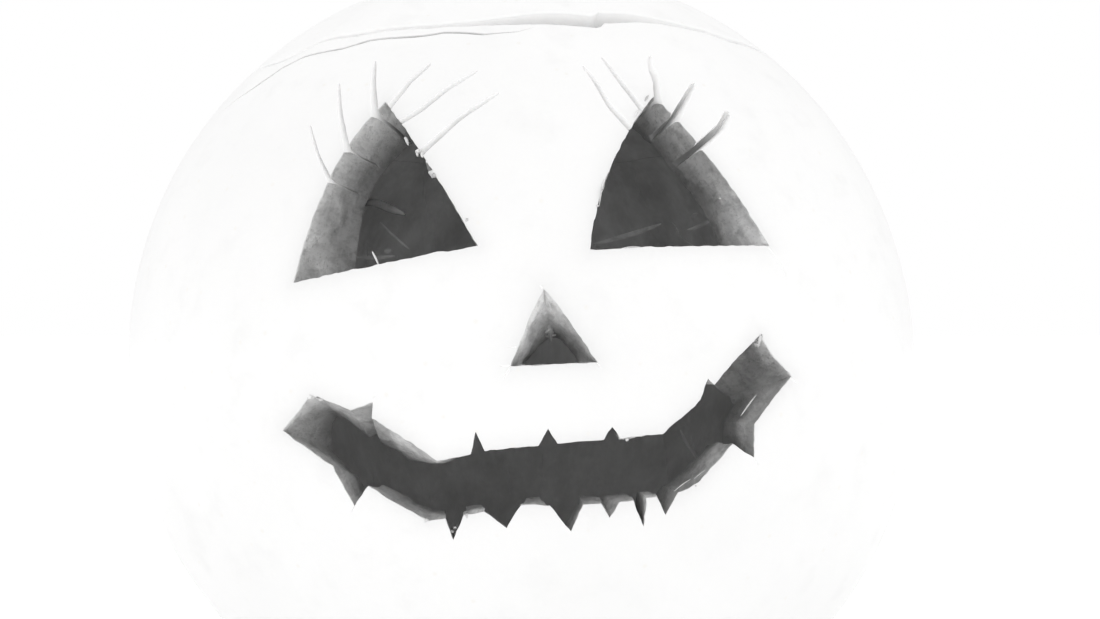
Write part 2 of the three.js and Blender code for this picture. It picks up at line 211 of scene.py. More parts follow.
class LanternSizes(bpy.types.PropertyGroup):
    wall: length("Wall", "From the skin to the scraped inside", 27 * MM)
    floor: length("Floor", "Thickness left under the hollow", 24 * MM)
    lid_wall: length("Lid wall", "Thickness of the lid", 24 * MM)
    rib_depth: length("Rib depth", "Depth of the furrows at the back", 3.8 * MM)
    face_rib_depth: length("Face rib depth", "Depth of the furrows beside the face", 1.2 * MM)
    rib_count: bpy.props.IntProperty(name="Ribs", description="Ribs round the body", default=12)
    crown_dip: length("Crown dip", "How far the top sinks round the stem", 13 * MM)
    swell: length("Swell", "How far the fuller flank stands out", 4.5 * MM)
    seam_gap: length("Seam gap", "Clearance between rim and lid", 1.9 * MM)
    seam_gape: length("Seam gape", "Opening under the lid at the front", 5.8 * MM)
    stem_rise: length("Stem rise", "Height of the stem", 50 * MM)
    stem_neck: length("Stem neck", "Radius half way up the stem", 13.5 * MM)
    strings: bpy.props.IntProperty(name="Strings", description="Fibres left in the hollow", default=90)


class LanternColours(bpy.types.PropertyGroup):
    rind: colour("Rind", "Waxy pale skin", (0.91, 0.909, 0.907))
    flesh: colour("Flesh", "Cut wall", (0.6, 0.599, 0.596))
    scraped: colour("Scraped", "Scraped inside", (0.77, 0.769, 0.767))
    stem: colour("Stem", "Dry stem", (0.5, 0.495, 0.48))
    floor: colour("Floor", "Pale floor", (0.96, 0.96, 0.96))


class LanternStage(bpy.types.PropertyGroup):
    distance: length("Camera distance", "From the camera to the pumpkin's axis", 450 * MM)
    aside: length("Camera aside", "How far right of the axis the camera stands", 10.9 * MM)
    above: length("Camera above", "How far above the ball's middle the camera stands", 18.4 * MM)
    lens: bpy.props.FloatProperty(name="Lens", description="Focal length in millimetres", default=36.4)
    sky: bpy.props.FloatProperty(name="Sky", description="Strength of the even light", default=1.0)
    key: bpy.props.FloatProperty(name="Key", description="Power of the front light", default=0.8)


# ---------- Forms ----------

def aim(heading, climb):
    """Unit directions: (sin h cos c, -cos h cos c, sin c) for headings h and climbs c in radians."""
    heading, climb = np.broadcast_arrays(heading, climb)
    ring = np.cos(climb)
    return np.stack([np.sin(heading) * ring, -np.cos(heading) * ring, np.sin(climb)], axis=-1)


def ramp(low, high, value):
    """Eased step: 0 below low, 1 above high, and 3t^2 - 2t^3 between."""
    share = np.clip((value - low) / (high - low), 0, 1)
    return share * share * (3 - 2 * share)


def noise(points, size, seed):
    """Smooth uneven field from -1 to 1. Each corner of a lattice with cells of the given size has its
    own value from a shuffled table, and a point takes the eased blend of its cell's eight corners.
    Seeds only keep one field from repeating another."""
    random = np.random.default_rng(seed)
    table, values = random.permutation(256), random.uniform(-1, 1, 256)
    cells = np.asarray(points) / size
    base = np.floor(cells).astype(np.int64)
    ease = ramp(0, 1, cells - base)
    total = 0
    for corner in product((0, 1), repeat=3):
        place = base + corner
        index = table[place[..., 0] % 256] + place[..., 1]
        index = table[index % 256] + place[..., 2]
        weight = np.where(corner, ease, 1 - ease).prod(axis=-1)
        total = total + values[table[index % 256]] * weight
    return total


def soft_least(one, other, blend=0.4 * MM):
    """The smaller of two lengths, rounded where they meet: -b log(exp(-one/b) + exp(-other/b))."""
    return -blend * np.logaddexp(-one / blend, -other / blend)


def furrow_depth(heading, climb, sizes):
    """Depth of the furrows between ribs: |sin(n/2 h)|^6 with a slow waver, shallower beside the face
    and gone at the poles."""
    way = aim(heading, climb)
    waver = 0.03 * noise(way, 0.5, 3)
    behind = ramp(-0.6, 0, -np.cos(heading))
    most = sizes.face_rib_depth + (sizes.rib_depth - sizes.face_rib_depth) * behind
    furrow = most * np.abs(np.sin(sizes.rib_count / 2 * (heading + waver))) ** 6
    return furrow * (0.75 + 0.35 * noise(way, 0.7, 5)) * ramp(0, 0.5, np.cos(climb))


def skin_radius(heading, climb, sizes):
    """Radius of the skin: a ball, less the furrows and a bell-shaped dip round the crown, plus a
    fourth-power swell low on the right and slow lumps, cut level at the foot."""
    heading, climb = np.broadcast_arrays(heading, climb)
    way = aim(heading, climb)
    ring = np.cos(climb)
    furrow = furrow_depth(heading, climb, sizes)
    dip = np.where(climb > 0, sizes.crown_dip * np.exp(-((ring / 0.2) ** 2)), 0)
    swell = sizes.swell * np.maximum(0, way @ aim(np.radians(62), np.radians(-38))) ** 4
    lumps = 0.7 * MM * noise(way, 0.45, 7) + 0.1 * MM * noise(way, 0.09, 8)
    around = RADIUS - furrow - dip + swell + lumps * (1 - 0.5 * ramp(0.4, 0.9, ring))
    low = climb < -0.5
    foot = MIDDLE / np.where(low, np.sin(-climb), 1)
    return np.where(low, soft_least(around, foot), around)


def inner_radius(heading, climb, sizes):
    """Radius of the scraped inside: a smaller ball with spoon gouges that run up and down, which are
    noise stretched fourfold along the climb, and a level floor."""
    heading, climb = np.broadcast_arrays(heading, climb)
    way = aim(heading, climb)
    gouge = 0.9 * MM * noise(way * (1, 1, 0.25), 0.07, 11) + 0.5 * MM * noise(way, 0.12, 12)
    around = RADIUS - sizes.wall + gouge
    low = climb < -0.5
    floor = (MIDDLE - sizes.floor + 0.4 * gouge) / np.where(low, np.sin(-climb), 1)
    return np.where(low, soft_least(around, floor, 2 * MM), around)


def turned(heading):
    """Headings in degrees from -180 to 180."""
    return (np.degrees(heading) + 180) % 360 - 180


def rim_climb(heading):
    """Climb of the knife's cut round the lid: the seam's places joined up, with the hand's waver."""
    waver = 0.16 * noise(aim(heading, 0), 0.11, 21) + 0.06 * noise(aim(heading, 0), 0.03, 22)
    return np.radians(np.interp(turned(heading), SEAM[:, 0], SEAM[:, 1]) + waver)


def lid_climb(heading, sizes):
    """Climb of the lid's edge: the rim, a clearance that narrows behind, and a bell-shaped gape."""
    gape = sizes.seam_gape * np.exp(-(np.abs(turned(heading) - GAPE_HEADING) / GAPE_SPREAD) ** 2.5)
    front = 0.12 + 0.88 * ramp(-0.2, 0.6, np.cos(heading))
    gap = sizes.seam_gap * front * (1 + 0.4 * np.sin(heading))
    return rim_climb(heading) + (gap + gape) / RADIUS


def face_headings(count, crowding):
    """Headings all round, closer together at the face: t - k sin t for even steps t."""
    step = np.linspace(0, 2 * np.pi, count, endpoint=False)
    return step - crowding * np.sin(step)


def wall_rows(skin, inside, edge, pole, counts):
    """Rows of a wall, as climbs and radii: up the skin from the pole, round the edge's small
    rounding, in over the cut, and back along the inside."""
    skin_rows, cut_rows, inner_rows = counts
    rounding = 0.7 * MM
    inward = -pole * rounding / RADIUS
    first = pole * np.radians(89.4)
    near_edge = edge - inward
    rows = []
    for share in np.linspace(0, 1, skin_rows):
        climb = first + (near_edge - first) * share
        rows.append((climb, skin(climb)))
    outer = skin(near_edge)
    for turn in np.radians((22, 45, 68)):
        rows.append((near_edge + inward * np.sin(turn), outer - rounding * (1 - np.cos(turn))))
    for share in np.linspace(0, 1, cut_rows):
        inner = inside(edge)
        radius = outer - rounding - (outer - rounding - inner) * share
        rows.append((edge, radius))
    for share in np.linspace(0, 1, inner_rows + 1)[1:]:
        climb = edge + (first - edge) * share
        rows.append((climb, inside(climb)))
    return rows


# ---------- Meshes ----------

def ring_faces(rows, slices):
    """Quads of a grid that closes round its slices, as rows of four corner numbers."""
    row, place = np.meshgrid(np.arange(rows - 1), np.arange(slices), indexing="ij")
    after = (place + 1) % slices
    corners = [row * slices + place, row * slices + after,
               (row + 1) * slices + after, (row + 1) * slices + place]
    return np.stack(corners, axis=-1).reshape(-1, 4)


def closed_tube(rings):
    """Vertices and faces of a tube of rings, each end closed by a fan to the middle of its ring."""
    rings = np.asarray(rings, float)
    rows, slices = rings.shape[:2]
    ends = np.array([rings[0].mean(axis=0), rings[-1].mean(axis=0)])
    points = np.concatenate([rings.reshape(-1, 3), ends])
    place = np.arange(slices)
    after = (place + 1) % slices
    first, last = rows * slices, rows * slices + 1
    back = (rows - 1) * slices
    low = np.stack([np.full(slices, first), after, place], axis=-1)
    high = np.stack([np.full(slices, last), back + place, back + after], axis=-1)
    return points, ring_faces(rows, slices).tolist() + low.tolist() + high.tolist()


def joined(parts):
    """Several vertex and face lists as one."""
    points, faces, start = [], [], 0
    for part_points, part_faces in parts:
        points.append(part_points)
        faces += [[corner + start for corner in face] for face in part_faces]
        start += len(part_points)
    return np.concatenate(points), faces


def outward(points, faces):
    """The faces, turned round if the volume they close comes out negative."""
    volume = 0
    for sides in {len(face) for face in faces}:
        corners = points[np.array([face for face in faces if len(face) == sides])]
        for i in range(1, sides - 1):
            volume += np.einsum("ij,ij->", corners[:, 0], np.cross(corners[:, i], corners[:, i + 1]))
    return faces if volume > 0 else [face[::-1] for face in faces]


def new_mesh(name, points, faces, materials, finishes=None):
    """An object at the origin with its place in its mesh, shaded smooth, with a finish for each face."""
    mesh = bpy.data.meshes.new(name)
    mesh.from_pydata((points + (0, 0, MIDDLE)).tolist(), [], outward(points, faces))
    for material in materials:
        mesh.materials.append(material)
    if finishes is not None:
        mesh.polygons.foreach_set("material_index", np.asarray(finishes, np.int32))
    mesh.shade_smooth()
    mesh.validate()
    piece = bpy.data.objects.new(name, mesh)
    bpy.context.scene.collection.objects.link(piece)
    return piece


def settle(piece, slot, *nodes):
    """Hand a finished piece to the frame."""
    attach(piece, "root")
    if nodes:
        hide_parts(*nodes)


# ---------- Cuts ----------

def skin_depth(places, sizes):
    """Depth at which lines straight in from the front meet the skin, found by repeated reading."""
    across, up = places[:, 0], places[:, 1]
    depth = -np.sqrt(RADIUS ** 2 - across ** 2 - up ** 2)
    for _ in range(4):
        heading = np.arctan2(across, -depth)
        climb = np.arctan2(up, np.hypot(across, depth))
        radius = skin_radius(heading, climb, sizes)
        depth = -np.sqrt(radius ** 2 - across ** 2 - up ** 2)
    return depth


def ball_depth(places, radius):
    return -np.sqrt(radius ** 2 - places[:, 0] ** 2 - places[:, 1] ** 2)


def knife_lean(places, exits, sizes):
    """Sideways and upward move for each metre of depth, from the skin to the inner wall."""
    run = ball_depth(exits, RADIUS - sizes.wall) - ball_depth(places, RADIUS)
    return (exits - places) / run[:, None]


def bow(start, control, end, count, last=False):
    """Quadratic curve from start to end that leans towards control, with its last point if asked."""
    share = np.linspace(0, 1, count, endpoint=last)[:, None]
    start, control, end = (np.asarray(place, float) for place in (start, control, end))
    return (1 - share) ** 2 * start + 2 * share * (1 - share) * control + share ** 2 * end


def bowed_triangle(form, counts):
    corners, bows = form
    sides = [bow(corners[i], bows[i], corners[(i + 1) % 3], counts[i]) for i in range(3)]
    return np.concatenate(sides) * MM


def densified(corners, step, closed=True):
    """Points along straight lines between corners, about a step apart."""
    ends = np.roll(corners, -1, axis=0) if closed else corners[1:]
    lines = []
    for start, end in zip(corners, ends):
        count = max(1, int(np.ceil(np.linalg.norm((end - start)[:2]) / step)))
        lines.append(start + (end - start) * np.linspace(0, 1, count, endpoint=False)[:, None])
    if not closed:
        lines.append(corners[-1:])
    return np.concatenate(lines)


def smoothed(places, reach):
    """Closed outlines along the last axis but one, each point the mean of its neighbours."""
    shifts = range(-reach, reach + 1)
    return sum(np.roll(places, shift, axis=-2) for shift in shifts) / len(shifts)


def sideways(outline):
    """Unit normals of a closed outline, turned away from the cut's inside."""
    along = np.roll(outline, -1, axis=0) - np.roll(outline, 1, axis=0)
    after = np.roll(outline, -1, axis=0)
    area = np.sum(outline[:, 0] * after[:, 1] - outline[:, 1] * after[:, 0])
    normal = np.stack([along[:, 1], -along[:, 0]], axis=-1) * np.sign(area)
    return normal / np.linalg.norm(normal, axis=1, keepdims=True)


def cut_form(outline, lean, sizes, flare=0.12, rough=0.5, ragged=0.24, soft=0, reach=None,
             half=0, shut=0):
    """Knife surface through the wall. Each outline point's line has rings ahead of the skin, close
    together under it, evenly through the flesh and behind the wall. Rings are pushed sideways by a
    flare at the skin and a scraped round at the inner wall, by ragged chips and by saw marks, which
    are noise stretched along the depth. The share soft rounds the outline's corners on the way in.
    With reach, each line ends at its own depth, the two halves of the outline pair up, and the
    slit's half width closes by the share shut on its way in."""
    starts = skin_depth(outline, sizes)
    exits = ball_depth(outline, RADIUS - sizes.wall)
    if reach is None:
        back, ends, shallow = np.full_like(starts, exits.max() + 9 * MM), exits, 1
    else:
        ends = starts + reach
        back, shallow = ends + 0.4 * MM, np.minimum(1, reach / (4 * MM))
    near = [np.full_like(starts, starts.min() - 9 * MM), starts - 0.6 * MM, starts]
    under = [starts + step * MM * shallow for step in (0.25, 0.6, 1.1, 1.8, 2.7)]
    last = under[-1]
    through = [last + (ends - last) * share for share in np.linspace(0, 1, 15)[1:]]
    depths = np.stack(near + under + through + [back])
    places = outline + lean * (depths - starts)[..., None]
    places = places + (smoothed(places, 4) - places) * (soft * ramp(1, 14, (depths - starts) / MM))[..., None]
    walls = np.stack([places[..., 0], depths, places[..., 1]], axis=-1)
    inside = (depths - starts) / MM
    opened = flare * np.clip(1 - inside / 1.1, 0, 1) ** 2
    chips = ragged * (noise(walls, 1.7 * MM, 31) + 0.7 * noise(walls, 5 * MM, 32))
    chips = chips * (1 - 0.75 * ramp(0.5, 3, inside))
    strokes = noise(walls * (1, 0.25, 1), 3.2 * MM, 33) + 0.5 * noise(walls * (1, 0.4, 1), 1.4 * MM, 34)
    strokes = rough * ramp(0, 3, inside) * (strokes + 0.9 * noise(walls, 11 * MM, 35))
    push = (opened + chips + strokes) * MM - half * shut * ramp(-1, 4, inside)
    if reach is None:
        inner_edge = np.clip(1 - np.abs(exits - depths) / (5 * MM), 0, 1) ** 2
        push = push + inner_edge * (0.9 + 1.1 * noise(walls, 4 * MM, 36)) * MM
    normal = sideways(outline)
    walls[..., 0] += push * normal[:, 0]
    walls[..., 2] += push * normal[:, 1]
    rows, count = depths.shape
    faces = ring_faces(rows, count).tolist()
    top = (rows - 1) * count
    if reach is None:
        faces += [list(range(count))[::-1], [top + i for i in range(count)]]
    else:
        pairs = [(i, i + 1, count - 2 - i, count - 1 - i) for i in range(count // 2 - 1)]
        faces += [list(pair)[::-1] for pair in pairs]
        faces += [[top + i for i in pair] for pair in pairs]
    return walls.reshape(-1, 3), faces


def opening(form, counts, sizes):
    outline = bowed_triangle(form["skin"], counts)
    exits = bowed_triangle(form["inside"], counts)
    return cut_form(outline, knife_lean(outline, exits, sizes), sizes, soft=0.8)


def mouth(sizes):
    lips = np.concatenate([LOWER_LIP, UPPER_LIP[-2:0:-1]])
    points = densified(lips, 0.9) * MM
    outline = points[:, :2]
    return cut_form(outline, knife_lean(outline, outline + points[:, 2:], sizes), sizes, soft=0.8)


def straight_lean(outline, drift, sizes):
    """One lean all over, from the drift at the outline's middle."""
    middle = outline.mean(axis=0, keepdims=True)
    lean = knife_lean(middle, middle + np.array([drift]) * MM, sizes)
    return np.repeat(lean, len(outline), axis=0)


def lash(places, width, growth, shut, drift, sizes):
    """Slit along a curve from tip to root and on into the eye. Its half width grows from the tip with
    a power of the way and closes inwards, and the knife goes right through only near the root."""
    route = np.array(places, float)
    along = route[-1] - route[-2]
    route = np.vstack([route, route[-1] + 3 * along / np.linalg.norm(along)])
    line = densified(route, 0.9, closed=False)
    kernel = np.array([1, 2, 3, 2, 1]) / 9
    padded = np.pad(line, ((2, 2), (0, 0)), mode="edge")
    line = np.stack([np.convolve(padded[:, axis], kernel, "valid") for axis in (0, 1)], axis=-1)
    share = np.linspace(0, 1, len(line))
    run = np.gradient(line, axis=0)
    across = np.stack([-run[:, 1], run[:, 0]], axis=-1) / np.linalg.norm(run, axis=1, keepdims=True)
    half = width / 2 * (0.1 + 0.9 * share ** growth)
    left = line + across * half[:, None]
    right = line - across * half[:, None]
    outline = np.concatenate([left, right[::-1]]) * MM
    deep = sizes.wall * (0.012 + (0.84 - 0.8 * shut) * share ** (0.4 + 0.6 * shut) + 1.3 * share ** 4)
    reach = np.concatenate([deep, deep[::-1]])
    lean = straight_lean(outline, drift, sizes)
    closing = np.concatenate([half, half[::-1]]) * MM
    return cut_form(outline, lean, sizes, flare=0.2, rough=0.06, ragged=0.09,
                    reach=reach, half=closing, shut=shut)


def notch(start, end, tip, drift, spread, lip, side, sizes):
    """Wedge out of a lip, with its foot well inside the mouth. It widens by the spread on its way in;
    side is 1 for the upper lip and -1 for the lower."""
    ends = np.array([[np.interp(x, lip[:, 0], lip[:, 1]) for x in (start, end)]]).T
    base = np.hstack([np.array([[start], [end]]), ends])
    foot = base - (0, 6 * side)
    corners = np.array([foot[0], base[0], tip, base[1], foot[1]], float)
    outline = densified(corners, 0.9) * MM
    middle = (start + end) / 2 * MM
    away = np.clip((outline[:, 0] - middle) / (4 * MM), -1, 1)
    low = ramp(tip[1] * side, base[:, 1].mean() * side, outline[:, 1] / MM * side)
    widened = outline.copy()
    widened[:, 0] += spread * MM * away * low
    lean = straight_lean(outline, drift, sizes) + knife_lean(outline, widened, sizes)
    return cut_form(outline, lean, sizes, flare=0.1, rough=0.3)


def groove(route, width, depth, sizes):
    """V groove along a route of headings and climbs on the skin: three corners carried along it, two
    above the skin and one below, narrowing to nothing at both ends."""
    steps = densified(route, 0.35, closed=False)
    heading, climb = np.radians(steps[:, 0]), np.radians(steps[:, 1])
    way = aim(heading, climb)
    base = way * skin_radius(heading, climb, sizes)[:, None]
    run = np.gradient(base, axis=0)
    across = np.cross(run, way)
    across = across / np.linalg.norm(across, axis=1, keepdims=True)
    share = np.linspace(0, 1, len(base))
    swell = np.minimum(1, 6 * np.minimum(share, 1 - share) + 0.05) * (1 + 0.12 * noise(base, 6 * MM, 41))
    half = (width * swell)[:, None] * across
    high, low = way * 0.8 * MM, way * (depth * swell)[:, None]
    spread = 1 + 0.8 * MM / depth  # keeps the sides straight up to the two upper corners
    above = base + high
    return closed_tube(np.stack([above + half * spread, above - half * spread, base - low], axis=1))


def skin_route(places):
    """Headings and climbs, in degrees, of front-view places on the ball."""
    places = np.asarray(places) * MM
    depth = ball_depth(places, RADIUS)
    heading = np.arctan2(places[:, 0], -depth)
    return np.degrees(np.stack([heading, np.arcsin(places[:, 1] / RADIUS)], axis=-1))


def face_cuts(sizes):
    """Every knife form of the face, as openings and grooves, and as pale, narrow slits."""
    openings = [
        opening(LEFT_EYE, (72, 66, 60), sizes),
        opening(RIGHT_EYE, (62, 64, 66), sizes),
        opening(NOSE, (26, 24, 26), sizes),
        mouth(sizes),
    ]
    openings += [notch(*cut, LOWER_LIP, -1, sizes) for cut in LOWER_NOTCHES]
    openings += [notch(*cut, UPPER_LIP, 1, sizes) for cut in UPPER_NOTCHES]
    openings.append(groove(SCORE, SCORE_WIDTH, SCORE_DEPTH, sizes))
    slits = [lash(*slit, LEFT_LASH_DRIFT, sizes) for slit in LEFT_LASHES]
    slits += [lash(*slit, RIGHT_LASH_DRIFT, sizes) for slit in RIGHT_LASHES]
    slits += [groove(skin_route(nick), NICK_WIDTH, NICK_DEPTH, sizes) for nick in NICKS]
    return openings, slits


def carve(piece, cuts, material):
    """Take the cuts out of a piece, one Boolean at a time, and keep the result as its mesh."""
    for number, (points, faces) in enumerate(cuts):
        tool = new_mesh(f"knife_{number}", points, faces, [material])
        modifier = piece.modifiers.new("carve", "BOOLEAN")
        modifier.operation = "DIFFERENCE"
        modifier.solver = "MANIFOLD"
        modifier.material_mode = "TRANSFER"
        modifier.object = tool
        evaluated = piece.evaluated_get(bpy.context.evaluated_depsgraph_get())
        carved = bpy.data.meshes.new_from_object(evaluated)
        if len(carved.polygons) == 0:
            raise RuntimeError(f"cut {number} left nothing of {piece.name}")
        old, piece.data = piece.data, carved
        piece.modifiers.clear()
        bpy.data.meshes.remove(old)
        bpy.data.objects.remove(tool)


def read_points(mesh):
    points = np.empty(len(mesh.vertices) * 3)
    mesh.vertices.foreach_get("co", points)
    return points.reshape(-1, 3)


def store(piece, name, values):
    layer = piece.data.attributes.new(name, "FLOAT", "POINT")
    layer.data.foreach_set("value", np.asarray(values, np.float32).ravel())


def mark_walls(piece, sizes):
    """Store how deep each vertex lies in the wall, 0 on the skin and 1 on the scraped inside, and how
    deep the furrow there is, as a share of the deepest."""
    points = read_points(piece.data) - (0, 0, MIDDLE)
    radius = np.linalg.norm(points, axis=1)
    heading = np.arctan2(points[:, 0], -points[:, 1])
    climb = np.arcsin(np.clip(points[:, 2] / radius, -1, 1))
    outer = skin_radius(heading, climb, sizes)
    store(piece, "depth", np.clip((outer - radius) / sizes.wall, 0, 1))
    store(piece, "furrow", furrow_depth(heading, climb, sizes) / sizes.rib_depth)


def mark_cuts(piece):
    """Store how near each vertex of the face lies to a cut: 1 at its edge, e^(-distance / reach) away
    from it. The rind darkens its skin by it as painted shade."""
    lips = np.concatenate([LOWER_LIP, UPPER_LIP[-2:0:-1]])[:, :2]
    edges = [bowed_triangle(form["skin"], (60, 60, 60)) for form in (LEFT_EYE, RIGHT_EYE, NOSE)]
    edges = np.concatenate(edges + [densified(lips, 0.9) * MM])
    points = read_points(piece.data) - (0, 0, MIDDLE)
    face = points[:, 1] < -60 * MM
    places = points[face][:, (0, 2)]
    gap = np.full(len(places), 1.0)
    for some in np.array_split(edges, 12):
        gap = np.minimum(gap, np.linalg.norm(places[:, None] - some, axis=2).min(axis=1))
    near = np.zeros(len(points))
    near[face] = np.exp(-gap / CUT_SHADE_REACH)
    store(piece, "near_cut", near)


# ---------- Materials ----------

class Tree:
    """Adds nodes to a node tree, each with its settings, values and what feeds it."""

    def __init__(self, tree):
        self.nodes, self.links = tree.nodes, tree.links
        self.nodes.clear()

    def add(self, kind, feeds=(), values=(), **settings):
        node = self.nodes.new(kind)
        for name, value in settings.items():
            setattr(node, name, value)
        for name, value in dict(values).items():
            node.inputs[name].default_value = value
        for name, source in dict(feeds).items():
            self.links.new(source, node.inputs[name])
        return node

    def mix(self, mask, one, other, blend="MIX"):
        """Colour one where the mask is 0 and the other where it is 1; each a colour or a socket."""
        node = self.nodes.new("ShaderNodeMix")
        node.data_type, node.blend_type = "RGBA", blend
        node.clamp_result = True
        for number, source in ((0, mask), (6, one), (7, other)):
            if isinstance(source, bpy.types.NodeSocket):
                self.links.new(source, node.inputs[number])
            else:
                node.inputs[number].default_value = source
        return node.outputs[2]

    def range(self, source, low, high, to_low=0.0, to_high=1.0):
        """The source's span from low to high, eased into another span."""
        values = {"From Min": low, "From Max": high, "To Min": to_low, "To Max": to_high}
        node = self.add("ShaderNodeMapRange", {"Value": source}, values, interpolation_type="SMOOTHSTEP")
        return node.outputs["Result"]

    def read(self, name):
        """A value stored with the vertices."""
        return self.add("ShaderNodeAttribute", attribute_name=name).outputs["Fac"]

    def scaled(self, mask, colour_now, share, most=1.0):
        """The colour times a share where the mask is 1. With most, the mask counts for that much."""
        faded = mask if most == 1.0 else self.range(mask, 0.0, 1.0, 0.0, most)
        return self.mix(faded, colour_now, tone((share,) * 3), "MULTIPLY")

    def mixed_value(self, mask, one, other):
        """Number one where the mask is 0 and the other where it is 1."""
        node = self.add("ShaderNodeMix", {0: mask, 2: one}, {3: other}, data_type="FLOAT")
        return node.outputs[0]

    def sum(self, one, other, share=1.0):
        node = self.add("ShaderNodeMath", {0: other, 2: one}, {1: share}, operation="MULTIPLY_ADD")
        return node.outputs[0]


def group(name, inputs, outputs):
    """An empty node group with named sockets, and its tree, input sockets and output node."""
    made = bpy.data.node_groups.new(name, "ShaderNodeTree")
    for socket, kind, default in inputs:
        item = made.interface.new_socket(socket, in_out="INPUT", socket_type=kind)
        if default is not None:
            item.default_value = default
    for socket, kind in outputs:
        made.interface.new_socket(socket, in_out="OUTPUT", socket_type=kind)
    tree = Tree(made)
    entry = tree.add("NodeGroupInput")
    leave = tree.add("NodeGroupOutput")
    return made, tree, entry.outputs, leave


def mottle_group():
    """Uneven patches: soft noise squeezed between two levels into a mask."""
    made, tree, given, leave = group(
        "Mottle",
        [("Vector", "NodeSocketVector", None), ("Scale", "NodeSocketFloat", 20.0),
         ("Low", "NodeSocketFloat", 0.35), ("High", "NodeSocketFloat", 0.65)],
        [("Mask", "NodeSocketFloat")],
    )
    field = tree.add("ShaderNodeTexNoise", {"Vector": given["Vector"], "Scale": given["Scale"]},
                     {"Detail": 4.0, "Roughness": 0.6})
    node = tree.add("ShaderNodeMapRange", {
        "Value": field.outputs["Fac"], "From Min": given["Low"], "From Max": given["High"],
    }, interpolation_type="SMOOTHSTEP")
    tree.links.new(node.outputs["Result"], leave.inputs["Mask"])
    return made


def fibre_group():
    """Fibres: noise stretched along one axis, coarse strands with fine ones between."""
    made, tree, given, leave = group(
        "Fibres",
        [("Vector", "NodeSocketVector", None), ("Stretch", "NodeSocketVector", (1.0, 1.0, 0.12)),
         ("Scale", "NodeSocketFloat", 300.0)],
        [("Height", "NodeSocketFloat")],
    )
    drawn = tree.add("ShaderNodeVectorMath", {0: given["Vector"], 1: given["Stretch"]}, operation="MULTIPLY")
    coarse = tree.add("ShaderNodeTexNoise", {"Vector": drawn.outputs[0], "Scale": given["Scale"]},
                      {"Detail": 3.0, "Roughness": 0.65, "Distortion": 0.25})
    fine = tree.add("ShaderNodeMath", {0: given["Scale"]}, {1: 3.1}, operation="MULTIPLY")
    strands = tree.add("ShaderNodeTexNoise", {"Vector": drawn.outputs[0], "Scale": fine.outputs[0]},
                       {"Detail": 2.0, "Roughness": 0.5})
    total = tree.sum(coarse.outputs["Fac"], strands.outputs["Fac"], 0.4)
    tree.links.new(total, leave.inputs["Height"])
    return made


def pore_group():
    """Pores: small pits where cells of a Voronoi pattern come close to their middles."""
    made, tree, given, leave = group(
        "Pores",
        [("Vector", "NodeSocketVector", None), ("Scale", "NodeSocketFloat", 400.0),
         ("Size", "NodeSocketFloat", 0.25)],
        [("Mask", "NodeSocketFloat")],
    )
    cells = tree.add("ShaderNodeTexVoronoi", {"Vector": given["Vector"], "Scale": given["Scale"]})
    node = tree.add("ShaderNodeMapRange", {"Value": cells.outputs["Distance"], "From Min": given["Size"]},
                    {"From Max": 0.0, "To Min": 0.0, "To Max": 1.0}, interpolation_type="SMOOTHSTEP")
    tree.links.new(node.outputs["Result"], leave.inputs["Mask"])
    return made


def spot_group():
    """A soft, uneven ball: 1 within 0.4 of the radius round a centre, 0 beyond it, its edge pushed
    about by noise."""
    made, tree, given, leave = group(
        "Spot",
        [("Vector", "NodeSocketVector", None), ("Centre", "NodeSocketVector", (0.0, 0.0, 0.0)),
         ("Radius", "NodeSocketFloat", 0.01)],
        [("Mask", "NodeSocketFloat")],
    )
    away = tree.add("ShaderNodeVectorMath", {0: given["Vector"], 1: given["Centre"]}, operation="DISTANCE")
    uneven = tree.add("ShaderNodeTexNoise", {"Vector": given["Vector"]}, {"Scale": 130.0, "Detail": 3.0})
    edge = tree.sum(away.outputs["Value"], uneven.outputs["Fac"], 0.008)
    near = tree.add("ShaderNodeMath", {0: given["Radius"]}, {1: 0.4}, operation="MULTIPLY")
    node = tree.add("ShaderNodeMapRange", {
        "Value": edge, "From Min": given["Radius"], "From Max": near.outputs[0],
    }, interpolation_type="SMOOTHSTEP")
    tree.links.new(node.outputs["Result"], leave.inputs["Mask"])
    return made


def shared(maker):
    """A shader group, made the first time it is asked for."""
    name = {mottle_group: "Mottle", fibre_group: "Fibres", pore_group: "Pores", spot_group: "Spot"}[maker]
    return bpy.data.node_groups.get(name) or maker()


def start_material(name):
    material = bpy.data.materials.new(name)
    material.use_nodes = True
    tree = Tree(material.node_tree)
    place = tree.add("ShaderNodeTexCoord").outputs["Object"]
    return material, tree, place


def finish_material(tree, colour_socket, roughness, heights, **values):
    """Principled surface with its relief: one Bump node for each height, strength and distance."""
    normal = None
    for height, strength, distance in heights:
        feeds = {"Height": height} if normal is None else {"Height": height, "Normal": normal}
        bump = tree.add("ShaderNodeBump", feeds, {"Strength": strength, "Distance": distance})
        normal = bump.outputs["Normal"]
    surface = tree.add("ShaderNodeBsdfPrincipled", {
        "Base Color": colour_socket, "Roughness": roughness, "Normal": normal,
    }, {name.replace("_", " "): value for name, value in values.items()})
    tree.add("ShaderNodeOutputMaterial", {"Surface": surface.outputs["BSDF"]})
    return surface


def tone(colour, share=1.0):
    """The colour scaled by a share, with full alpha."""
    return (*(channel * share for channel in colour), 1.0)


def use(tree, maker, place, **values):
    """A shared group placed in a tree, fed with a place."""
    node = tree.add("ShaderNodeGroup", node_tree=shared(maker))
    tree.links.new(place, node.inputs["Vector"])
    for name, value in values.items():
        node.inputs[name].default_value = value
    return node.outputs[0]


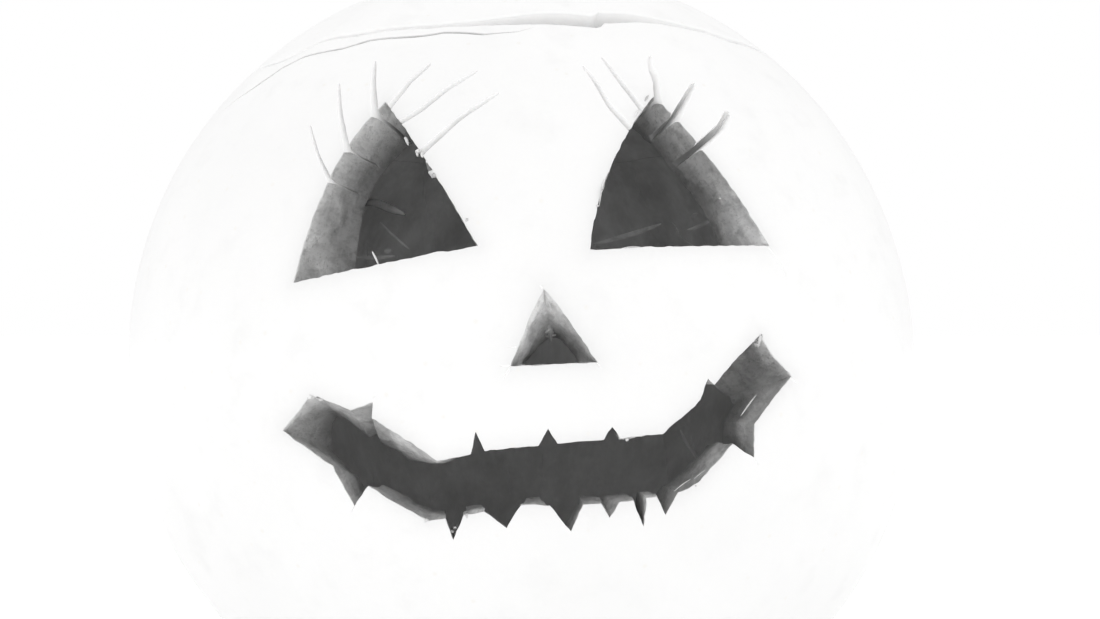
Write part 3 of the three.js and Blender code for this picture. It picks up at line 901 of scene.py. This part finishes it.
def rind_material(colours):
    """Pale waxy skin: broad and small patches, the furrows and the skin beside the cuts a little darker as
    painted shade, the crown a little paler as painted light, with freckles and fine dimples."""
    material, tree, place = start_material("pale_rind")
    broad = use(tree, mottle_group, place, Scale=9.0, Low=0.4, High=0.75)
    small = use(tree, mottle_group, place, Scale=70.0, Low=0.5, High=0.8)
    freckles = use(tree, pore_group, place, Scale=130.0, Size=0.16)
    colour_now = tree.mix(broad, tone(colours.rind), tone(colours.rind, 0.97))
    colour_now = tree.mix(small, colour_now, tone(colours.rind, 0.955))
    height = tree.add("ShaderNodeSeparateXYZ", {"Vector": place}).outputs["Z"]
    # Painted light: the crown made paler, as if lit from above.
    crown = tree.range(height, MIDDLE + 60 * MM, MIDDLE + 125 * MM)
    colour_now = tree.scaled(crown, colour_now, 1.025)
    # Painted shade: the skin darker in the furrows.
    furrow = tree.read("furrow")
    colour_now = tree.scaled(tree.range(furrow, 0.35, 1.0), colour_now, 0.8)
    # Painted shade: the skin darker beside the cuts.
    near_cut = tree.read("near_cut")
    colour_now = tree.scaled(near_cut, colour_now, 0.9)
    faint = tree.range(freckles, 0.0, 1.0, 0.0, 0.5)
    colour_now = tree.mix(faint, colour_now, tone((0.86, 0.84, 0.8)))
    roughness = tree.range(small, 0.0, 1.0, 0.38, 0.52)
    dimples = tree.add("ShaderNodeTexNoise", {"Vector": place}, {"Scale": 420.0, "Detail": 3.0})
    pits = use(tree, pore_group, place, Scale=260.0, Size=0.3)
    finish_material(tree, colour_now, roughness,
                    [(dimples.outputs["Fac"], 0.25, 0.0004), (pits, 0.2, 0.0003)],
                    IOR=1.42, Coat_Weight=0.12, Coat_Roughness=0.3)
    return material


def flesh_material(colours):
    """Cut wall: a thin pale line under the skin, then fibrous flesh that darkens inwards, partly as painted
    shade of the deep cut, with moist blotches, pores, knife streaks, and places where the whole wall is
    darker or paler, the paler ones painted light on walls that lie in shade."""
    material, tree, place = start_material("cut_flesh")
    depth = tree.read("depth")
    fibres = use(tree, fibre_group, place, Stretch=(1.0, 0.2, 1.0), Scale=420.0)
    patches = use(tree, mottle_group, place, Scale=60.0, Low=0.42, High=0.62)
    blots = use(tree, mottle_group, place, Scale=170.0, Low=0.5, High=0.68)
    pores = use(tree, pore_group, place, Scale=620.0, Size=0.3)
    # Darker inwards: partly the flesh's own colour, partly painted shade of the deep cut.
    colour_now = tree.mix(tree.range(depth, 0.12, 1.0), tone(colours.flesh, 1.15), tone(colours.flesh, 0.86))
    # Painted light: places with a share above 1 lift walls that lie in shade; the others darken the wall.
    for (across, up), radius, share in TONES:
        centre = (across * MM, ball_depth(np.array([[across, up]]) * MM, RADIUS)[0] + 10 * MM,
                  up * MM + MIDDLE)
        near = use(tree, spot_group, place, Centre=centre, Radius=radius * MM)
        colour_now = tree.scaled(near, colour_now, share)
    for mask, most, share in ((tree.range(fibres, 0.55, 0.95), 1.0, 0.8), (patches, 0.8, 0.74),
                              (blots, 0.55, 0.7), (pores, 0.45, 0.55)):
        faded = tree.range(mask, 0.0, 1.0, 0.0, most)
        colour_now = tree.scaled(faded, colour_now, share)
    past_rind = tree.range(depth, 0.002, 0.024)
    colour_now = tree.mix(past_rind, tone(colours.rind, 0.88), colour_now)
    roughness = tree.range(patches, 0.0, 1.0, 0.62, 0.38)
    grain = tree.add("ShaderNodeTexNoise", {"Vector": place}, {"Scale": 900.0, "Detail": 3.0})
    finish_material(tree, colour_now, roughness,
                    [(fibres, 0.5, 0.0006), (blots, 0.35, 0.0005), (pores, 0.45, 0.0004),
                     (grain.outputs["Fac"], 0.3, 0.0003)],
                    IOR=1.4, Subsurface_Weight=0.25, Subsurface_Scale=0.002,
                    Subsurface_Radius=(1, 0.97, 0.94))
    return material


def slit_material(colours):
    """Narrow cuts: wet flesh painted pale near the skin, as painted light against the slit's shade, that
    darkens slowly inwards, with fine fibres and a faint painted glow that stands in for the light that
    comes through the skin."""
    material, tree, place = start_material("slit_flesh")
    depth = tree.read("depth")
    fibres = use(tree, fibre_group, place, Stretch=(1.0, 0.2, 1.0), Scale=420.0)
    patches = use(tree, mottle_group, place, Scale=90.0, Low=0.4, High=0.65)
    # Painted light: as pale as the rind near the skin, lifting the slit's shade.
    colour_now = tree.mix(tree.range(depth, 0.12, 0.5), tone(colours.rind, 1.0), tone(colours.flesh, 0.9))
    colour_now = tree.scaled(patches, colour_now, 0.93, most=0.5)
    roughness = tree.range(patches, 0.0, 1.0, 0.55, 0.4)
    surface = finish_material(tree, colour_now, roughness, [(fibres, 0.35, 0.0004)], IOR=1.4,
                              Subsurface_Weight=0.35, Subsurface_Scale=0.004,
                              Subsurface_Radius=(1, 0.97, 0.94), Emission_Strength=1.0)
    # Painted glow: emission that stands in for light through the skin, fading inwards.
    glow = tree.mix(tree.range(depth, 0.1, 0.75), tone((0.07,) * 3), tone((0.0,) * 3))
    tree.links.new(glow, surface.inputs["Emission Color"])
    return material


def scraped_material(colours):
    """Scraped inside: flesh with strings that run up and down, moist spots, and a faint painted glow,
    stronger high up and on the strings, that stands in for the light that comes through the wall."""
    material, tree, place = start_material("scraped_flesh")
    strings = use(tree, fibre_group, place, Stretch=(1.0, 1.0, 0.15), Scale=150.0)
    patches = use(tree, mottle_group, place, Scale=35.0, Low=0.35, High=0.7)
    strand_mask = tree.range(strings, 0.5, 1.0)
    colour_now = tree.mix(strand_mask, tone(colours.scraped, 0.96), tone(colours.scraped, 1.08))
    colour_now = tree.scaled(patches, colour_now, 0.82, most=0.6)
    roughness = tree.range(patches, 0.0, 1.0, 0.65, 0.42)
    grain = tree.add("ShaderNodeTexNoise", {"Vector": place}, {"Scale": 500.0, "Detail": 4.0})
    surface = finish_material(tree, colour_now, roughness,
                              [(strings, 0.6, 0.0012), (grain.outputs["Fac"], 0.35, 0.0006)],
                              IOR=1.4, Emission_Strength=1.0)
    # Painted glow: emission stronger high up and on the strings, weaker on the moist spots.
    height = tree.add("ShaderNodeSeparateXYZ", {"Vector": place}).outputs["Z"]
    rising = tree.range(height, MIDDLE - 50 * MM, MIDDLE + 25 * MM)
    glow = tree.mix(rising, tone((0.007,) * 3), tone((0.02,) * 3))
    glow = tree.scaled(patches, glow, 0.3)
    glow = tree.scaled(strand_mask, glow, 1.4)
    tree.links.new(glow, surface.inputs["Emission Color"])
    return material


def string_material(colours):
    """Wet strings: paler than the wall behind them, with a painted glow that stands in for the light
    they catch.
    """
    material, tree, place = start_material("glowing_strings")
    patches = use(tree, mottle_group, place, Scale=120.0, Low=0.35, High=0.65)
    colour_now = tree.mix(patches, tone(colours.scraped, 1.1), tone(colours.scraped, 0.95))
    fine = use(tree, fibre_group, place, Stretch=(1.0, 1.0, 0.3), Scale=700.0)
    roughness = tree.range(patches, 0.0, 1.0, 0.3, 0.5)
    surface = finish_material(tree, colour_now, roughness, [(fine, 0.4, 0.0003)],
                              IOR=1.4, Emission_Strength=1.0)
    # Painted glow: emission that stands in for light caught by the strings.
    glow = tree.mix(patches, tone((0.07,) * 3), tone((0.03,) * 3))
    tree.links.new(glow, surface.inputs["Emission Color"])
    return material


def shred_material(colours, name="torn_shreds", share=1.0):
    """Torn shreds and crumbs: pale, fibrous and a little wet, darkened by a share."""
    material, tree, place = start_material(name)
    fibres = use(tree, fibre_group, place, Stretch=(1.0, 1.0, 0.3), Scale=700.0)
    patches = use(tree, mottle_group, place, Scale=150.0, Low=0.35, High=0.65)
    colour_now = tree.mix(patches, tone(colours.flesh, 1.4 * share), tone(colours.flesh, 0.9 * share))
    colour_now = tree.scaled(tree.range(fibres, 0.6, 1.0), colour_now, 0.85)
    roughness = tree.range(patches, 0.0, 1.0, 0.5, 0.3)
    finish_material(tree, colour_now, roughness, [(fibres, 0.5, 0.0003)], IOR=1.4)
    return material


def flap_material(colours):
    """The torn flap, which hangs in the shade of the hollow: the shreds' colour darkened to about a quarter
    as painted shade.
    """
    return shred_material(colours, "torn_flap", 0.26)


def stem_material(colours):
    """Dry stem: paler ridges, darker furrows, fine upright fibres and a pithy cut end."""
    material, tree, place = start_material("dry_stem")
    hollow = tree.read("hollow")
    cut = tree.read("cut")
    fibres = use(tree, fibre_group, place, Stretch=(1.0, 1.0, 0.1), Scale=600.0)
    patches = use(tree, mottle_group, place, Scale=90.0, Low=0.35, High=0.65)
    colour_now = tree.mix(hollow, tone(colours.stem, 1.25), tone(colours.stem, 0.6))
    fine = tree.range(fibres, 0.5, 0.95, 0.0, 0.7)
    colour_now = tree.mix(fine, colour_now, tone((0.72, 0.71, 0.7)), "MULTIPLY")
    colour_now = tree.mix(tree.range(patches, 0, 1, 0, 0.5), colour_now, tone(colours.stem, 0.8))
    pith = use(tree, pore_group, place, Scale=900.0, Size=0.4)
    face = tree.mix(pith, tone(colours.stem, 1.5), tone(colours.stem, 0.7))
    colour_now = tree.mix(cut, colour_now, face)
    roughness = tree.range(patches, 0.0, 1.0, 0.75, 0.9)
    finish_material(tree, colour_now, roughness, [(fibres, 0.7, 0.0006), (pith, 0.2, 0.0004)], IOR=1.4)
    return material


def floor_material(colours):
    """Even pale board with the faintest grain, brighter far from the lantern so that no edge shows."""
    material, tree, place = start_material("pale_floor")
    away = tree.add("ShaderNodeVectorMath", {0: place}, operation="LENGTH").outputs["Value"]
    glow = tree.mix(tree.range(away, 0.16, 0.75), tone((0.12,) * 3), tone((0.3,) * 3))
    grain = use(tree, mottle_group, place, Scale=14.0, Low=0.3, High=0.7)
    colour_now = tree.mix(grain, tone(colours.floor), tone(colours.floor, 0.99))
    roughness = tree.range(grain, 0.0, 1.0, 0.7, 0.8)
    height = tree.add("ShaderNodeTexNoise", {"Vector": place}, {"Scale": 600.0})
    surface = finish_material(tree, colour_now, roughness, [(height.outputs["Fac"], 0.05, 0.0002)],
                              Emission_Strength=1.0)
    tree.links.new(glow, surface.inputs["Emission Color"])
    return material


FINISHES = {
    "pale_rind": rind_material, "cut_flesh": flesh_material, "scraped_flesh": scraped_material,
    "slit_flesh": slit_material, "glowing_strings": string_material, "torn_shreds": shred_material,
    "torn_flap": flap_material, "dry_stem": stem_material, "pale_floor": floor_material,
}


def finish(name, colours):
    """The named material, made the first time it is asked for."""
    return bpy.data.materials.get(name) or FINISHES[name](colours)


# ---------- Pieces ----------

def wall_mesh(rows, heading):
    """Closed surface of a wall from its rows of climbs and radii."""
    rings = [aim(heading, climb) * (radius + 0 * heading)[:, None] for climb, radius in rows]
    return closed_tube(np.stack(rings))


def body_parts(sizes):
    """Vertices, faces and finishes of the body before the face is cut."""
    heading = face_headings(280, 0.35)
    counts = (112, 11, 58)
    rows = wall_rows(lambda climb: skin_radius(heading, climb, sizes),
                     lambda climb: inner_radius(heading, climb, sizes),
                     rim_climb(heading), -1, counts)
    points, faces = wall_mesh(rows, heading)
    return points, faces, band_finishes(len(rows), len(heading), counts)


def band_finishes(rows, slices, counts):
    """Finish of each face: rind on the skin rows, flesh over the cut, scraped inside."""
    skin_rows, cut_rows, _ = counts
    bands = np.full(rows - 1, SCRAPED)
    bands[:skin_rows + 3] = RIND
    bands[skin_rows + 3:skin_rows + 3 + cut_rows - 1] = SLIT
    return np.concatenate([np.repeat(bands, slices), np.full(slices, RIND), np.full(slices, SCRAPED)])


def wall_finishes(colours):
    return [finish(name, colours) for name in ("pale_rind", "cut_flesh", "scraped_flesh", "slit_flesh")]


def strand(path, width, thickness, sides=6):
    """Tapered strand: an ellipse carried along a path, its size following sin(pi share)^0.6 so that
    both ends come to a point, turned a little on its way."""
    path = np.asarray(path, float)
    run = np.gradient(path, axis=0)
    run = run / np.linalg.norm(run, axis=1, keepdims=True)
    up = np.where(np.abs(run[:, 2:]) > 0.9, (1.0, 0.0, 0.0), (0.0, 0.0, 1.0))
    side = np.cross(run, up)
    side = side / np.linalg.norm(side, axis=1, keepdims=True)
    other = np.cross(run, side)
    share = np.linspace(0.02, 0.98, len(path))
    size = np.sin(np.pi * share) ** 0.6
    turn = np.linspace(0, 2 * np.pi, sides, endpoint=False) + 0.8 * share[:, None]
    ring = (side[:, None] * (np.cos(turn) * width / 2)[..., None]
            + other[:, None] * (np.sin(turn) * thickness / 2)[..., None])
    return closed_tube(path[:, None] + ring * size[:, None, None])


def crumb(place, size, seed):
    """Lump: a ball of the given size with its radius pushed by noise and its axes uneven."""
    climb = np.linspace(-1.35, 1.35, 9)[:, None]
    heading = np.linspace(0, 2 * np.pi, 13, endpoint=False)[None]
    way = aim(heading, climb)
    random = np.random.default_rng(seed)
    stretch = random.uniform(0.5, 1.3, 3)
    radius = 0.5 * size * (1 + 0.6 * noise(way + seed, 0.9, 51) + 0.35 * noise(way + seed, 0.4, 52))
    return closed_tube(place + way * radius[..., None] * stretch)


def stem_form(sizes):
    """Rings of the stem and two values for each vertex. The radius is the neck plus a cubic spread at
    either end, times 1 + 0.13 cos 5a + 0.035 cos 15a for the ridges, which twist on their way up;
    the middle line leans with the square of the height. The cut end is a shallow dish of rings."""
    share = np.linspace(0, 1, 60)[:, None]
    angle = np.linspace(0, 2 * np.pi, 110, endpoint=False)[None]
    spread = 7.5 * (1 - share) ** 3 + 2.5 * share ** 3 + 5 * np.clip(1 - share / 0.3, 0, 1) ** 2
    ridges = 0.13 * np.cos(5 * angle) + 0.035 * np.cos(15 * angle + 0.8)
    turn = angle + np.radians(7 + 25 * share)
    way = np.stack(np.broadcast_arrays(np.cos(turn), np.sin(turn), share * 0.6), axis=-1)
    ridges = ridges + 0.05 * noise(way, 0.22, 61) + 0.02 * noise(way * (1, 1, 0.3), 0.07, 62)
    radius = (sizes.stem_neck + spread * MM) * (1 + ridges)
    height = STEM_FOOT + sizes.stem_rise * share + 0 * angle
    hollow = np.clip(0.45 - 3.2 * ridges, 0, 1)
    lean = np.stack([move * share ** 2 for move in STEM_LEAN], axis=-1)
    sides = np.stack([radius * np.cos(turn) + lean[..., 0], radius * np.sin(turn) + lean[..., 1], height], -1)
    inward = np.array([0.985, 0.95, 0.87, 0.74, 0.58, 0.4, 0.2])[:, None, None]
    top = sides[-1]
    centre = np.array([*STEM_LEAN, 0])
    dish = centre + (top - centre) * (inward * (1, 1, 0) + (0, 0, 1))
    dip = 0.5 - 1.9 * (1 - inward[..., 0] ** 2) + 0.35 * noise(dish, 4 * MM, 63)
    dish[..., 2] += dip * MM
    rings = np.concatenate([sides, dish])
    cut = np.concatenate([np.zeros(sides.shape[:2]), np.full(dish.shape[:2], 1.0)])
    hollow = np.concatenate([hollow, np.full(dish.shape[:2], 0.5)])
    return rings, np.append(hollow.ravel(), (0.5, 0.5)), np.append(cut.ravel(), (0, 1))


def under_skin(across, up, inside, sizes):
    """Point a given depth straight behind the skin at a front-view place, all in millimetres."""
    place = np.array([[across, up]]) * MM
    return np.array([place[0, 0], skin_depth(place, sizes)[0] + inside * MM, place[0, 1]])


def on_inner_wall(places, sizes, back):
    """Points on the scraped wall for front-view places, on its back or its front half."""
    places = np.asarray(places, float) * MM
    depth = ball_depth(places, RADIUS - sizes.wall) * (-1 if back else 1)
    return np.stack([places[:, 0], depth, places[:, 1]], axis=-1)


def flesh_piece(name, parts, finish_name, colours):
    """One piece of several loose bits of flesh."""
    points, faces = joined(parts)
    settle(new_mesh(name, points, faces, [finish(finish_name, colours)]), "flesh")


class LANTERN_OT_body(bpy.types.Operator):
    """Make the hollow body, with its face cut through the wall"""

    bl_idname = "lantern.body"
    bl_label = "Body"

    def execute(self, context):
        sizes, colours = context.scene.lantern_sizes, context.scene.lantern_colours
        points, faces, finishes = body_parts(sizes)
        body = new_mesh("pumpkin_body", points, faces, wall_finishes(colours), finishes)
        openings, slits = face_cuts(sizes)
        carve(body, slits, finish("slit_flesh", colours))
        carve(body, openings, finish("cut_flesh", colours))
        mark_walls(body, sizes)
        mark_cuts(body)
        body.data.shade_smooth()
        body.data.set_sharp_from_angle(angle=np.radians(38))
        settle(body, "shell", "shell")
        return {"FINISHED"}


class LANTERN_OT_lid(bpy.types.Operator):
    """Make the cut-out cap that rests on the rim"""

    bl_idname = "lantern.lid"
    bl_label = "Lid"

    def execute(self, context):
        sizes, colours = context.scene.lantern_sizes, context.scene.lantern_colours
        heading = face_headings(280, 0.35)
        counts = (44, 10, 30)
        edge = lid_climb(heading, sizes)
        thinner = sizes.wall - sizes.lid_wall
        rows = wall_rows(lambda climb: skin_radius(heading, climb, sizes),
                         lambda climb: (inner_radius(heading, climb, sizes)
                                        + thinner * ramp(0.02, 0.2, climb - edge)),
                         edge, 1, counts)
        points, faces = wall_mesh(rows, heading)
        finishes = band_finishes(len(rows), len(heading), counts)
        lid = new_mesh("pumpkin_lid", points, faces, wall_finishes(colours), finishes)
        mark_walls(lid, sizes)
        lid.data.set_sharp_from_angle(angle=np.radians(38))
        settle(lid, "lid", "lid")
        return {"FINISHED"}


class LANTERN_OT_stem(bpy.types.Operator):
    """Make the ridged dry stem"""

    bl_idname = "lantern.stem"
    bl_label = "Stem"

    def execute(self, context):
        sizes, colours = context.scene.lantern_sizes, context.scene.lantern_colours
        rings, hollow, cut = stem_form(sizes)
        points, faces = closed_tube(rings)
        stem = new_mesh("pumpkin_stem", points, faces, [finish("dry_stem", colours)])
        store(stem, "hollow", hollow)
        store(stem, "cut", cut)
        settle(stem, "stem", "lid")
        return {"FINISHED"}


class LANTERN_OT_strings(bpy.types.Operator):
    """Make the strings left on the scraped inside"""

    bl_idname = "lantern.strings"
    bl_label = "Strings"

    def execute(self, context):
        sizes, colours = context.scene.lantern_sizes, context.scene.lantern_colours
        random = np.random.default_rng(71)
        parts = []
        for _ in range(sizes.strings):
            heading, climb = np.pi + random.uniform(-2.1, 2.1), random.uniform(-0.7, 0.6)
            span, drift = random.uniform(0.08, 0.3), random.normal(0, 0.08)
            climbs = climb + span * np.linspace(0, 1, 14)
            headings = heading + drift * np.linspace(0, 1, 14) + random.uniform(0.01, 0.03) * np.sin(
                np.linspace(0, np.pi * random.uniform(0.5, 2), 14))
            radius = inner_radius(headings, climbs, sizes) - random.uniform(-0.1, 0.5) * MM
            path = aim(headings, climbs) * radius[:, None]
            parts.append(strand(path, random.uniform(0.6, 1.5) * MM, random.uniform(0.4, 0.9) * MM))
        flesh_piece("inner_strings", parts, "scraped_flesh", colours)
        parts = []
        for start, end, width in BACK_STRINGS:
            middle = (np.add(start, end) / 2 + (0, -1.5)).tolist()
            places = bow(start, middle, end, 16, last=True)
            path = on_inner_wall(places, sizes, True) - (0, 1 * MM, 0)
            parts.append(strand(path, 0.7 * MM, width * MM))
        # These strings take the finish with the painted glow.
        flesh_piece("glowing_strings", parts, "glowing_strings", colours)
        return {"FINISHED"}


class LANTERN_OT_scraps(bpy.types.Operator):
    """Make the crumbs, shreds and torn flap that cling to the cuts"""

    bl_idname = "lantern.scraps"
    bl_label = "Scraps"

    def execute(self, context):
        sizes, colours = context.scene.lantern_sizes, context.scene.lantern_colours
        parts = [crumb(under_skin(*place, sizes), size * MM, seed)
                 for seed, (*place, size) in enumerate(CRUMBS)]
        for start, end, width, thickness in SHREDS:
            first, last = under_skin(*start, sizes), under_skin(*end, sizes)
            path = bow(first, (first + last) / 2 + (0, -0.4 * MM, 0.6 * MM), last, 12, last=True)
            parts.append(strand(path, width * MM, thickness * MM))
        flesh_piece("cut_scraps", parts, "torn_shreds", colours)
        path = on_inner_wall(bow(*FLAP, 24, last=True), sizes, False) + (0, 3 * MM, 0)
        path[:, 1:] += 0.5 * MM * np.sin(np.linspace(0, 7, 24))[:, None]
        flake = bow(*(under_skin(*place, sizes) for place in FLAKE), 10, last=True)
        parts = [strand(path, 1.4 * MM, 2.8 * MM, sides=12), strand(flake, 1 * MM, 1.8 * MM)]
        # The flap and the flake take the flap finish, darkened as painted shade.
        flesh_piece("torn_flaps", parts, "torn_flap", colours)
        return {"FINISHED"}


class LANTERN_OT_stage(bpy.types.Operator):
    """Make the floor, the light and the camera"""

    bl_idname = "lantern.stage"
    bl_label = "Stage"

    def execute(self, context):
        scene, stage, colours = context.scene, context.scene.lantern_stage, context.scene.lantern_colours
        half = 6.0
        corners = [(-half, -half, 0), (half, -half, 0), (half, half, 0), (-half, half, 0)]
        mesh = bpy.data.meshes.new("floor")
        mesh.from_pydata(corners, [], [(0, 1, 2, 3)])
        mesh.materials.append(finish("pale_floor", colours))
        floor = bpy.data.objects.new("floor", mesh)
        scene.collection.objects.link(floor)

        world = bpy.data.worlds.new("even_light")
        world.use_nodes = True
        scene.world = world
        tree = Tree(world.node_tree)
        seen = tree.add("ShaderNodeLightPath").outputs["Is Camera Ray"]
        way = tree.add("ShaderNodeTexCoord").outputs["Generated"]
        away = tree.add("ShaderNodeVectorMath", {0: way}, {1: (0.0, 0.85, -0.5)}, operation="DOT_PRODUCT")
        even = tree.range(away.outputs["Value"], 0.1, 0.9, stage.sky, stage.sky * 0.84)
        strength = tree.mixed_value(seen, even, 1.0)
        sky = tree.add("ShaderNodeBackground", {"Strength": strength}, {"Color": (1, 1, 1, 1)})
        tree.add("ShaderNodeOutputWorld", {"Surface": sky.outputs[0]})

        for name, place, size, power in (
            ("key", (-0.35, -1.6, 0.9), 1.4, stage.key),
            ("fill", (1.3, -0.9, 0.7), 1.2, stage.key * 0.5),
        ):
            lamp = bpy.data.lights.new(name, "AREA")
            lamp.shape = "DISK"
            lamp.size, lamp.energy = size, power
            light = bpy.data.objects.new(name, lamp)
            scene.collection.objects.link(light)
            light.location = place
            aimed = np.array((0, 0, MIDDLE)) - place
            light.rotation_euler = (
                np.arctan2(np.hypot(aimed[0], aimed[1]), -aimed[2]), 0, np.arctan2(-aimed[0], aimed[1]))

        camera_data = bpy.data.cameras.new("camera")
        camera_data.lens = stage.lens
        camera_data.sensor_width = 36
        camera_data.clip_start = 0.01
        camera = bpy.data.objects.new("camera", camera_data)
        camera.location = (stage.aside, -stage.distance, MIDDLE + stage.above)
        camera.rotation_euler = (np.pi / 2, 0, 0)
        scene.collection.objects.link(camera)
        scene.camera = camera
        scene.view_settings.view_transform = "Standard"
        return {"FINISHED"}


class LANTERN_PT_panel(bpy.types.Panel):
    """Lists the lantern's pieces and their sizes"""

    bl_label = "Lantern"
    bl_idname = "LANTERN_PT_panel"
    bl_space_type = "VIEW_3D"
    bl_region_type = "UI"
    bl_category = "Lantern"

    def draw(self, context):
        for group_name in ("lantern_sizes", "lantern_colours", "lantern_stage"):
            settings = getattr(context.scene, group_name)
            for name in settings.bl_rna.properties.keys():
                if name not in ("rna_type", "name"):
                    self.layout.prop(settings, name)
        for maker in MAKERS:
            self.layout.operator(maker.bl_idname)


MAKERS = (LANTERN_OT_body, LANTERN_OT_lid, LANTERN_OT_stem, LANTERN_OT_strings, LANTERN_OT_scraps,
          LANTERN_OT_stage)
GROUPS = {"lantern_sizes": LanternSizes, "lantern_colours": LanternColours, "lantern_stage": LanternStage}


def register():
    for kind in (*GROUPS.values(), *MAKERS, LANTERN_PT_panel):
        bpy.utils.register_class(kind)
    for name, kind in GROUPS.items():
        setattr(bpy.types.Scene, name, bpy.props.PointerProperty(type=kind))


def unregister():
    for name in GROUPS:
        delattr(bpy.types.Scene, name)
    for kind in (LANTERN_PT_panel, *reversed(MAKERS), *GROUPS.values()):
        bpy.utils.unregister_class(kind)


def main():
    register()
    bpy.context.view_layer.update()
    bpy.ops.lantern.stage()
    bpy.ops.lantern.body()
    bpy.ops.lantern.lid()
    bpy.ops.lantern.stem()
    bpy.ops.lantern.strings()
    bpy.ops.lantern.scraps()


if __name__ == "__main__":
    main()
